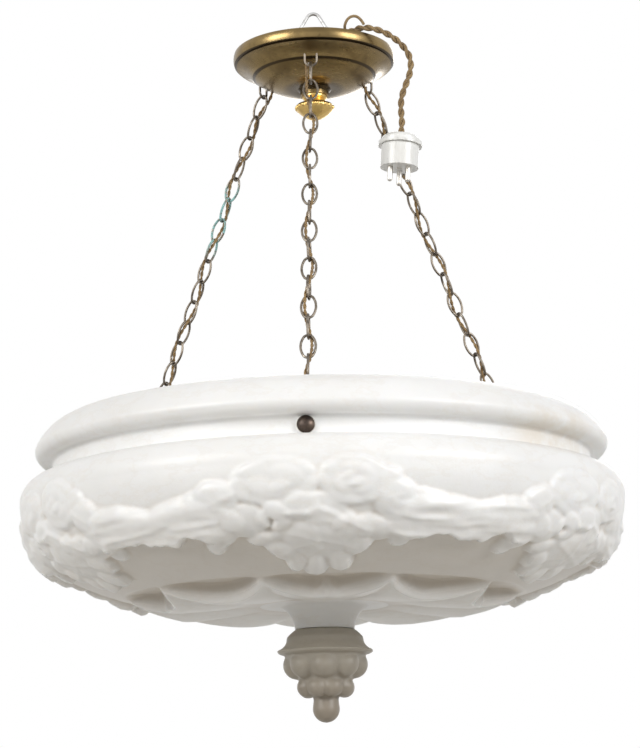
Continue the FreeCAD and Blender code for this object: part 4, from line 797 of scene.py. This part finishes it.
# %% Carving tools
def lobe(x, y, cx, cy, across, down, tilt, edge):
    """A rounded oval lobe: 1 less the squared distance from its middle, raised to a low power.

    The distance is counted in half widths along its tilted axes, so it is 1 at the edge.
    """
    c, s = math.cos(math.radians(tilt)), math.sin(math.radians(tilt))
    u = ((x - cx) * c + (y - cy) * s) / across
    v = ((y - cy) * c - (x - cx) * s) / down
    return np.clip(1.0 - u * u - v * v, 0.0, 1.0) ** edge


def ridge_line(x, y, points, width):
    """A thin raised line along a few points: 1 on the line, 0 a width away from it."""
    near = np.full(np.broadcast(x, y).shape, 1e9)
    for (ax, ay), (bx, by) in zip(points, points[1:]):
        dx, dy = bx - ax, by - ay
        share = np.clip(((x - ax) * dx + (y - ay) * dy) / (dx * dx + dy * dy), 0.0, 1.0)
        near = np.minimum(near, np.hypot(x - ax - share * dx, y - ay - share * dy))
    return np.clip(1.0 - near / width, 0.0, 1.0)


def clouded(azimuth, down, across_deg, down_mm, seed):
    """Smooth hand-made unevenness from 0 to 1; it joins up round the bowl.

    Random heights stand on a net, and between them the height follows 3t^2 - 2t^3 both ways.
    """
    count = int(round(360.0 / across_deg))
    rows = int(300.0 / down_mm) + 3
    table = np.random.RandomState(seed).rand(rows, count)
    u = (azimuth % 360.0) / 360.0 * count
    v = np.clip((down + 20.0) / down_mm, 0.0, rows - 1.001)
    i, j = np.floor(v).astype(int), np.floor(u).astype(int)
    a, b = v - i, u - j
    a, b = a * a * (3 - 2 * a), b * b * (3 - 2 * b)
    first = table[i, j % count] * (1 - b) + table[i, (j + 1) % count] * b
    second = table[i + 1, j % count] * (1 - b) + table[i + 1, (j + 1) % count] * b
    return first * (1 - a) + second * a


def layered(height, mask, rise):
    """A leaf laid on the carving: it lifts what is under it by a rise, most of it at its edge."""
    return height + rise * np.clip(mask, 0.0, 1.0) ** 0.5


def petal_fan(x, y, cx, cy, across, down, petals):
    """A rose as petals laid one on another: each (angle, reach, long, wide, lift) has a steep rim.

    The height is the highest petal: its lift times a low power of an oval, fuller at its rim.
    """
    u, v = (x - cx) / across, (y - cy) / down
    height = np.clip(1.0 - u * u - v * v, 0.0, 1.0) ** 0.35 * 0.42
    for angle, reach, long, wide, lift in petals:
        c, s = math.cos(math.radians(angle)), math.sin(math.radians(angle))
        outward = (u * c + v * s) - reach
        sideways = v * c - u * s
        inside = 1.0 - (outward / long) ** 2 - (sideways / wide) ** 2
        rim = 0.74 + 0.32 * np.clip(outward / long, -1.0, 1.0)
        height = np.maximum(height, lift * np.clip(inside, 0.0, 1.0) ** 0.22 * rim)
    return height


RIGHT_ROSE = (
    (172, 0.60, 0.38, 0.46, 0.60), (215, 0.50, 0.44, 0.44, 0.70), (120, 0.54, 0.44, 0.50, 0.62),
    (88, 0.62, 0.34, 0.40, 0.56), (45, 0.56, 0.42, 0.45, 0.68), (10, 0.62, 0.36, 0.40, 0.60),
    (-28, 0.56, 0.42, 0.46, 0.66), (-70, 0.54, 0.42, 0.44, 0.72), (-110, 0.56, 0.40, 0.42, 0.64),
    (150, 0.28, 0.40, 0.44, 0.84), (-20, 0.30, 0.36, 0.40, 0.78),
    (35, 0.26, 0.42, 0.48, 0.82), (-75, 0.24, 0.40, 0.50, 0.90), (80, 0.06, 0.26, 0.34, 1.0),
    (-140, 0.08, 0.24, 0.30, 0.97),
)
LEFT_ROSE = (
    (175, 0.62, 0.36, 0.46, 0.56), (140, 0.52, 0.44, 0.46, 0.66), (100, 0.54, 0.42, 0.44, 0.60),
    (60, 0.55, 0.42, 0.44, 0.66), (15, 0.60, 0.38, 0.46, 0.58),
    (-35, 0.54, 0.42, 0.44, 0.68), (-80, 0.56, 0.40, 0.46, 0.60), (-125, 0.54, 0.42, 0.46, 0.66),
    (160, 0.24, 0.42, 0.46, 0.82), (90, 0.26, 0.38, 0.42, 0.78),
    (-30, 0.24, 0.46, 0.52, 0.86), (60, 0.12, 0.32, 0.42, 0.97),
)


# %% [markdown]
# ## Garland and rosette
#
# Roses, leaves and swags repeat six times round the bowl, and petals ten times under it. So each
# pattern is drawn once, in mm from its own middle, and the azimuth is folded into one repeat.
# Slow noise shifts the drawing a little everywhere, so that no two repeats are quite alike.

# %% Garland
CLUSTER_STEP, CLUSTER_MIDDLE, SWAG_MIDDLE = 60.0, 270.0, 300.0
MM_PER_DEGREE, SWAG_HALF = 4.15, 17.5
LEFT_ROSE_LIFT, RIGHT_ROSE_LIFT, SIDE_PETAL_LIFT = 4.6, 5.4, 3.4
# across and down in mm, half width and half height, and for the petal its tilt and edge
LEFT_ROSE_SPOT, RIGHT_ROSE_SPOT = (-23.0, 44.5, 33.0, 19.0), (33.5, 43.5, 25.5, 19.0)
SIDE_PETAL_SPOT = (57.5, 45.0, 12.5, 10.5, 10, 0.3)

# across and down in mm, half width, half height, tilt in degrees, and then the lift in mm
FOLIAGE = (
    (66, 58, 19, 15, 20), (84, 68, 13, 12, -15), (70, 84, 15, 10, 30), (48, 82, 20, 13, 10),
    (-66, 56, 19, 14, -25), (-80, 72, 13, 15, 10), (-70, 89, 16, 9, -20), (-48, 74, 20, 15, 0),
    (-77, 97, 9, 10, 0), (72, 92, 9, 10, 25), (6, 88, 36, 30, 0), (-36, 92, 14, 9, -10),
    (-22, 106, 14, 12, 25), (-13, 120, 10.5, 12.0, 10), (5, 131, 11.5, 18.5, 0),
    (27, 120, 12.5, 13.5, -15), (37, 101, 13, 13, 0), (-2, 64, 30, 12, 0),
)
LEAVES = (
    (66, 57, 15, 11, 20, 1.5), (82, 66, 11, 9, -15, 1.1), (58, 78, 13, 8, -20, 1.2),
    (-67, 54, 15, 10, -25, 1.5), (-78, 71, 11, 12, 10, 1.2), (-58, 72, 14, 9, 30, 1.4),
    (-68, 88, 12, 7, -20, 1.0), (-24, 70, 12.5, 11.5, 0, 2.3), (-4, 62, 13, 9, -10, 1.7),
    (13, 72, 15, 9, 12, 1.6), (33, 79, 15, 11, 18, 1.7), (-32, 90, 12, 7, -14, 1.0),
)
FINGERS = (
    (8, 94, 30, 24, 0, 6.2), (-23, 104, 15, 10.5, 25, 6.9), (-13, 118, 10, 13, 10, 7.0),
    (5, 128, 11.5, 21, 0, 8.2), (27, 117, 12, 15, -15, 7.4), (39, 98, 12, 13, 0, 6.6),
)
VEINS = (
    (((-14, 66), (1, 66), (8, 62), (24, 70), (43, 80)), 1.1),
    (((1, 66), (8, 92), (6, 140)), 0.7),
    (((8, 90), (-22, 82)), 0.7), (((8, 92), (-26, 108)), 0.6), (((8, 98), (-12, 124)), 0.6),
    (((8, 98), (28, 120)), 0.6), (((8, 90), (40, 100)), 0.6), (((52, 50), (84, 70)), 0.6),
    (((-50, 50), (-86, 70)), 0.6),
)
VEIN_WIDTH = 2.4


def from_middle(azimuth, middle):
    """Degrees from the nearest of six places round the bowl, one of which is the given middle."""
    return ((azimuth - middle + CLUSTER_STEP / 2) % CLUSTER_STEP) - CLUSTER_STEP / 2


def swag(azimuth, down, y, drift):
    """Height of the gathered drapery between two clusters; it hangs steeper than the wall.

    From a torn top edge to a ragged foot it grows with the way down, folds are added where a noise
    crosses its middle, and the whole dies away toward both clusters.
    """
    between = from_middle(azimuth, SWAG_MIDDLE) + drift
    share = between / SWAG_HALF
    torn = clouded(azimuth, down * 0.3, 3.2, 40.0, 11) - 0.5
    ragged = clouded(azimuth, down * 0.2, 1.2, 50.0, 12) - 0.5
    top = 53.5 + 3.5 * np.cos(between * 0.30) + 3.0 * torn + 1.2 * ragged
    foot = 88.0 + 3.0 * np.sin(between * 0.50 + 0.7) - 6.0 * torn + 4.5 * ragged
    along = np.clip((y - top) / (foot - top), 0.0, 1.0)
    sheet = np.clip(along * 5.0, 0.0, 1.0) ** 0.6 * np.clip((1.0 - along) * 9.0, 0.0, 1.0) ** 0.5
    flow = clouded(azimuth, down + 2.6 * np.sin(np.radians(between * 9)), 8.5, 6.5, 21)
    fine = clouded(azimuth, down + 1.2 * np.sin(np.radians(between * 14)), 4.2, 2.6, 22)
    folds = 1.9 * (1.0 - np.abs(2 * flow - 1)) ** 1.3 + 0.9 * (1.0 - np.abs(2 * fine - 1))
    ends = np.clip((1.0 - np.abs(share)) * 3.0, 0.0, 1.0) ** 0.6
    return sheet * (2.6 + 4.2 * along + folds) * ends


def cluster(azimuth, down, x, y):
    """Height of the leaves under the roses.

    A plate of foliage is the highest of its lobes. Leaves are laid on it, long fingers stand over
    its hanging end, and veins are raised lines along both.
    """
    plate = np.zeros(x.shape)
    for cx, cy, across, long, tilt in FOLIAGE:
        plate = np.maximum(plate, lobe(x, y, cx, cy, across, long, tilt, 0.24))
    crumpled = clouded(azimuth, down, 2.0, 6.5, 31)
    hang = 0.055 * np.clip(y - 62.0, 0.0, 90.0)
    high = plate * (2.6 + hang + 0.5 * (1.0 - np.abs(2 * crumpled - 1)))
    for cx, cy, across, long, tilt, lift in LEAVES:
        high = layered(high, lobe(x, y, cx, cy, across, long, tilt, 0.5) * (plate > 0.2), lift)
    for cx, cy, across, long, tilt, lift in FINGERS:
        finger = lobe(x, y, cx, cy, across, long, tilt, 0.26)
        high = np.maximum(high, finger * (lift + 0.03 * (y - 90.0)))
    for line, lift in VEINS:
        high = high + lift * ridge_line(x, y, line, VEIN_WIDTH) * (plate > 0.5)
    return high


def garland(azimuth, down):
    """Height of the garland, in mm, over degrees round Z and mm down the wall.

    It is the highest of the swag, the cluster, a loose petal and the two roses, worn a little.
    """
    drift = clouded(azimuth, down, 9.0, 22.0, 3) - 0.5
    tremble = clouded(azimuth, down, 2.6, 9.0, 5) - 0.5
    x = from_middle(azimuth, CLUSTER_MIDDLE) * MM_PER_DEGREE + 5.0 * drift + 1.6 * tremble
    y = down + 4.0 * (clouded(azimuth, down, 10.0, 30.0, 8) - 0.5) + 1.6 * tremble
    high = np.maximum(0.0, swag(azimuth, down, y, drift))
    high = np.maximum(high, cluster(azimuth, down, x, y))
    high = np.maximum(high, SIDE_PETAL_LIFT * lobe(x, y, *SIDE_PETAL_SPOT))
    left = petal_fan(x, y, *LEFT_ROSE_SPOT, LEFT_ROSE)
    right = petal_fan(x, y, *RIGHT_ROSE_SPOT, RIGHT_ROSE)
    high = np.maximum(high, np.maximum(LEFT_ROSE_LIFT * left, RIGHT_ROSE_LIFT * right))
    worn = clouded(azimuth, down, 1.1, 4.0, 41) - 0.5
    return high * (1.0 + 0.04 * worn)


# %% Rosette
PETAL_AXIS, PETALS = 273.6, 10
HOLLOW_RADIUS, HOLLOW_LONG, HOLLOW_DEPTH = 160.0, 34.0, 6.5
PETAL_LOW, PETAL_RISE, RIM_WIDE = 2.2, 6.8, 2.2


def rosette(azimuth, down):
    """Height of the ten petals under the bowl, in mm: a lens-shaped hollow lies past each one.

    Within its lip a petal is a low power of a lens across it, crowned toward the lip. From the lip
    to the far radius lies the hollow, and the wall is left plain beyond.
    """
    drift = clouded(azimuth, down, 12.0, 30.0, 51) - 0.5
    radius = wall_at(down)[0] * np.ones_like(azimuth) + 4.0 * drift
    step = 360.0 / PETALS
    turn = (azimuth - PETAL_AXIS + step / 2) / step
    off = (turn % 1.0) * step - step / 2 + drift
    broad = np.floor(turn) % 2 == 0
    lens = np.clip(1.0 - (off / (step / 2)) ** 2, 0.0, 1.0)
    far = HOLLOW_RADIUS + 3.0 * lens
    lip = far - HOLLOW_LONG * lens + 5.0 * np.exp(-((off / 2.2) ** 2)) * broad
    inside = np.clip((far - radius) / np.maximum(far - lip, 0.5), 0.0, 1.0)
    sunk = np.clip(inside * 1.2, 0.0, 1.0) ** 0.7 * np.clip(lens * 1.8, 0.0, 1.0)
    crown = 0.22 + 0.78 * np.clip((radius - 66.0) / 52.0, 0.0, 1.0) ** 0.8
    petal = (PETAL_LOW + PETAL_RISE * lens**0.5) * crown * np.clip((radius - 46.0) / 34.0, 0.0, 1.0)
    rim = np.clip((lip - radius) / RIM_WIDE, 0.0, 1.0) ** 0.5
    return np.where(radius < lip, petal * rim, np.where(radius < far, -HOLLOW_DEPTH * sunk, 0.0))


# %% [markdown]
# ## Carve the bowl
#
# The bowl is three rings of faces: the garland's wall, the rosette's, and the lip with the
# inside. A carved ring pushes each point of the wall out along its own normal. The mesh also
# stores where the carving stands out, so that the stone's finish can rub it, and a painted shade
# that grows down the wall and into the hollows and drops where the carving stands out. The rows
# lie close where the carving is, and wide apart on the plain cove.

# %% Carve the bowl
SEAM = 134.0
# painted shade: it starts this far down the wall in mm, is full this much further down, and carving
# this many mm high leaves it, or this many mm deep deepens it
PAINTED_SHADE_FROM, PAINTED_SHADE_OVER, PAINTED_SHADE_HEIGHT = 58.0, 30.0, 3.0
RIDGE_HEIGHT, FADE = 1.6, 3.0


def softened(field, times):
    """The field blurred along both ways, round the bowl without a seam.

    Each value becomes half itself and a quarter of each neighbour, one way and then the other.
    """
    for _ in range(times):
        field = (np.roll(field, 1, 1) + np.roll(field, -1, 1) + 2 * field) / 4
        padded = np.pad(field, ((1, 1), (0, 0)), mode="edge")
        field = (padded[:-2] + padded[2:] + 2 * padded[1:-1]) / 4
    return field


def ring_angles(columns):
    """Degrees round Z, one for each column."""
    return np.arange(columns) * 360.0 / columns


def lathe_grid(r, z, angles):
    """Points in metres at radii and heights in mm, turned by angles in degrees about Z."""
    a = np.radians(angles)
    return np.stack((r * np.cos(a), r * np.sin(a), z * np.ones_like(a)), -1) * MM


def carved_ring(name, distances, columns, carving, smooth):
    """A ring of wall between two distances, pushed out along its own normal by a carving.

    The ridge value is the height less its own blur. The dull value is painted shade: it grows
    down the wall and into the hollows, and drops where the carving stands out.
    """
    down, way = np.meshgrid(distances, ring_angles(columns), indexing="ij")
    high = softened(carving(way, down), smooth)
    # painted shade: darker down the wall and in the hollows, lighter where the carving stands out
    standing = np.clip(high / PAINTED_SHADE_HEIGHT, 0.0, 1.0)
    dull = np.clip((down - PAINTED_SHADE_FROM) / PAINTED_SHADE_OVER, 0.0, 1.0) * (1.0 - 0.75 * standing)
    dull = softened(dull + 0.35 * np.clip(-high / PAINTED_SHADE_HEIGHT, 0.0, 1.0), 2)
    ridge = np.clip((high - softened(high, 12)) / RIDGE_HEIGHT, -1.0, 1.0)
    fade_in, fade_out = (down - distances[0]) / FADE, (distances[-1] - down) / FADE
    high = high * (np.clip(fade_in, 0, 1) * np.clip(fade_out, 0, 1))
    r, z, out_r, out_z = (value[:, None] for value in wall_at(distances))
    grid = lathe_grid(r + high * out_r, z + high * out_z, way)
    marks = {"ridge": ridge[:, ::-1], "dull": dull[:, ::-1]}
    return grid_object(name, grid[:, ::-1], STONE, stored=marks)


garland_rows = np.concatenate((
    np.linspace(-LEAD_IN, 0.0, 9)[:-1], np.linspace(0.0, 22.0, 7)[:-1], np.linspace(22.0, SEAM, 94),
))
garland_piece = carved_ring("bowl_garland", garland_rows, 900, garland, 1)
rosette_rows = np.linspace(SEAM, outside_run[-1], 160)
rosette_piece = carved_ring("bowl_rosette", rosette_rows, 600, rosette, 3)

# %% The lip, the inside and the boss's seat
LIP_ROWS, LIP_COLUMNS = 108, 900
section = eased(np.concatenate((
    # up the cove, round the fillet, and along the lip's underside
    run_of(COVE_MIDDLE, (220.5, -394.8), 10), arc((220.5, -394.8), (224.3, -391.0), 3.8, -1, 10),
    run_of((224.3, -391.0), (226.0, -391.0), 4),
    # round the lip, over its top, and down the upright inner wall
    arc((226.0, -391.0), (235.0, -382.0), 9.0, 1, 20),
    arc((235.0, -382.0), (214.0, -360.0), 37.0, 1, 30),
    run_of((214.0, -360.0), (207.0, -360.0), 8), run_of((207.0, -360.0), (207.0, -412.0), 30),
    # out to the belly, in along it, and over the floor to the finial's hole
    run_of((207.0, -412.0), (231.0, -432.0), 20),
    arc((231.0, -432.0), (210.0, -467.0), 60.0, -1, 20),
    arc((210.0, -467.0), (110.0, -493.0), 230.0, -1, 30),
    run_of((110.0, -493.0), (5.0, -493.0), 30), run_of((5.0, -493.0), (5.0, -528.0), 20),
    # out under the boss and back to the wall
    run_of((5.0, -528.0), (24.3, -528.0), 14), arc((24.3, -528.0), BOSS_TOP, 20.0, -1, 30),
    run_of(BOSS_TOP, FLAT_UNDER, 12), [FLAT_UNDER],
)), LATHE_EASE)

# rows are spent on length and, more of them, on bends
turn_run = distance_along(section)
bend = np.abs(np.gradient(np.unwrap(np.arctan2(*np.gradient(section, axis=0).T))))
effort = np.cumsum(0.25 * np.gradient(turn_run) / 6.0 + bend * 6.0)
picks = np.interp(np.linspace(effort[0], effort[-1], LIP_ROWS), effort, turn_run)
section = spots_on(section, turn_run, picks)
section[0], section[-1] = outside[0], outside[-1]
lathe = lathe_grid(section[:, :1], section[:, 1:], ring_angles(LIP_COLUMNS)[None])
# the lip and the inside take no rubbed ridges and no painted shade
plain = np.zeros(lathe.shape[:2])
turned_piece = grid_object(
    "bowl_lip_and_inside", lathe, STONE, stored={"ridge": plain, "dull": plain}
)
for piece in (garland_piece, rosette_piece, turned_piece):
    stands_for(piece, "alabaster_bowl")
    print(piece.name, len(piece.data.polygons), "faces")


# %% [markdown]
# ## Finish for the pieces that keep their solid shape
#
# Turned, pressed and forged pieces are already right, so they only take a finish. It is linked to
# the object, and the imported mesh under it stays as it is.

# %% Carried-over pieces
KEPT = {
    "alabaster_finial": SHADED_FINIAL_STONE, "ceiling_cup": CUP_BRASS, "beaded_knob_nut": KNOB_BRASS,
    "cup_eyes": LINKS, "eye_nuts": LINKS, "hook_strap": STEEL, "centre_stem": STEEL,
    "stem_nuts": STEEL, "suspension_bail": STEEL, "chain_front": LINKS, "chain_right": LINKS,
    "chain_left": LINKS, "terminal_block": CERAMIC, "terminal_screws": NICKEL,
    "plug_cap": PLUG_WHITE, "plug_body": PLUG_WHITE, "plug_pins": NICKEL, "plug_screw": NICKEL,
    "rim_bolts": BOLT_BRONZE, "rim_washers": NICKEL, "rim_nuts": STEEL, "clevis_pins": STEEL,
    "holder_nipples": HOLDER_BRASS, "nipple_nuts": HOLDER_BRASS, "finial_rod": STEEL,
    "finial_washer": STEEL, "finial_nut": STEEL,
}
for station in STATIONS:
    KEPT[f"hook_bracket_{station}"] = STEEL
    KEPT[f"lampholder_cap_{station}"] = HOLDER_BRASS
    KEPT[f"lampholder_skirt_{station}"] = HOLDER_BRASS
    KEPT[f"shade_ring_{station}"] = CORE_BLACK
    KEPT[f"lampholder_core_{station}"] = CORE_BLACK
    KEPT[f"contact_plungers_{station}"] = NICKEL
for name, finish in KEPT.items():
    node = nodes[name]
    if not node.material_slots:
        node.data.materials.append(finish)
    for slot in node.material_slots:
        slot.link = "OBJECT"
        slot.material = finish
left_out = [name for name in nodes if name not in KEPT and not nodes[name].hide_render]
print("finished", len(KEPT), "kept pieces; still plain:", left_out)


# %% [markdown]
# ## The finial's worn lobes
#
# The solid finial is a stack of separate lobes. On the real one they flow into each other, and
# wax and hands have rounded them. A voxel remesh joins the lobes into one skin, and a smoothing
# rounds the valleys between them, while the solid stays as it is.

# %% Finial
LOBE_VOXEL, LOBE_SOFTENING, LOBE_ROUNDS = 0.0009, 0.5, 14
finial = nodes["alabaster_finial"]
refine = finial.modifiers.new("merged_lobes", "REMESH")
refine.mode, refine.voxel_size, refine.use_smooth_shade = "VOXEL", LOBE_VOXEL, True
soften = finial.modifiers.new("worn_lobes", "SMOOTH")
soften.factor, soften.iterations = LOBE_SOFTENING, LOBE_ROUNDS
print("finial modifiers:", [modifier.name for modifier in finial.modifiers])


# %% [markdown]
# ## Light and backdrop
#
# Two broad soft lamps stand at the left and the right front, a little above the cup, the right
# one slightly stronger. A faint one fills from straight ahead, and one behind rims the lip and
# the chains. The room glows weakly, and more from above, so that hollows stay dark. What looks
# straight at it, or at its mirror image, sees plain white instead. The floor is pale paper well
# below the bowl, which lights the underside from below.

# %% Studio
MIDDLE, LAMP_SIZE = (0.0, 0.0, -0.42), 1.2


def soft_light(name, place, power, colour=(1.0, 1.0, 1.0)):
    """A square lamp at a place in metres, turned to face the middle of the pendant."""
    data = bpy.data.lights.new(name, "AREA")
    data.shape, data.size, data.energy, data.color = "SQUARE", LAMP_SIZE, power, colour
    lamp = bpy.data.objects.new(name, data)
    lamp.location = place
    lamp.rotation_euler = (Vector(MIDDLE) - Vector(place)).to_track_quat("-Z", "Y").to_euler()
    bpy.context.scene.collection.objects.link(lamp)


soft_light("key_light", (-1.85, -1.70, 0.38), 40.5, (1.0, 0.995, 0.985))
soft_light("fill_light", (2.05, -1.55, 0.38), 47.0, (0.985, 0.99, 1.0))
soft_light("front_light", (0.0, -2.4, 0.10), 4.0)
soft_light("back_light", (0.2, 2.0, 0.5), 16.0)
print("lamps:", len(bpy.data.lights))

# %% Room
ROOM_LOW, ROOM_HIGH, GLOW_LOW, GLOW_HIGH = -0.5, 0.6, 0.02, 0.26
ROOM_COLOUR, WHITE = (1.0, 0.965, 0.91, 1.0), (1.0, 1.0, 1.0, 1.0)
world = bpy.data.worlds.new("studio_room")
world.use_nodes = True
bpy.context.scene.world = world
world.node_tree.nodes.clear()
room = Nodes(world.node_tree)
height = room.part(room.node("ShaderNodeTexCoord", out="Generated"), 2)
strength = room.node(
    "ShaderNodeMapRange", {"interpolation_type": "SMOOTHSTEP"},
    {0: height, 1: ROOM_LOW, 2: ROOM_HIGH, 3: GLOW_LOW, 4: GLOW_HIGH},
)
dim = room.node("ShaderNodeBackground", None, {0: ROOM_COLOUR, 1: strength})
white = room.node("ShaderNodeBackground", None, {0: WHITE, 1: 1.0})
either = room.node("ShaderNodeMixShader", None, {0: room.looked_at(), 1: dim, 2: white})
room.node("ShaderNodeOutputWorld", None, {0: either})
print("room nodes:", len(world.node_tree.nodes))

# %% Floor
FLOOR_HALF, FLOOR_Z, FLOOR_GLOW = 6.0, -2.0, 0.6
floor_mesh = bpy.data.meshes.new("studio_floor")
ways = ((-1, -1), (1, -1), (1, 1), (-1, 1))
floor_mesh.from_pydata(
    [(x * FLOOR_HALF, y * FLOOR_HALF, FLOOR_Z) for x, y in ways], [], [(0, 1, 2, 3)]
)
floor = bpy.data.objects.new("studio_floor", floor_mesh)
bpy.context.scene.collection.objects.link(floor)
paper = Finish("pale_floor_paper")
paper.feed("Base Color", paper.mix(paper.noise(30.0, 3.0), (0.68, 0.66, 0.62), (0.72, 0.70, 0.66)))
paper.feed("Roughness", 0.8 + paper.noise(80.0, 2.0) * 0.1)
floor_mesh.materials.append(paper.material)
lit = Wire(paper, paper.surface.outputs[0])
glow = paper.node("ShaderNodeEmission", None, {"Color": (0.93, 0.925, 0.91, 1.0)})
share = paper.looked_at() * FLOOR_GLOW
both = paper.node("ShaderNodeMixShader", None, {0: share, 1: lit, 2: glow})
paper.tree.links.new(both.socket, paper.tree.nodes["Material Output"].inputs["Surface"])
bpy.context.scene.view_settings.view_transform = "Standard"
print("floor at", FLOOR_Z, "m")
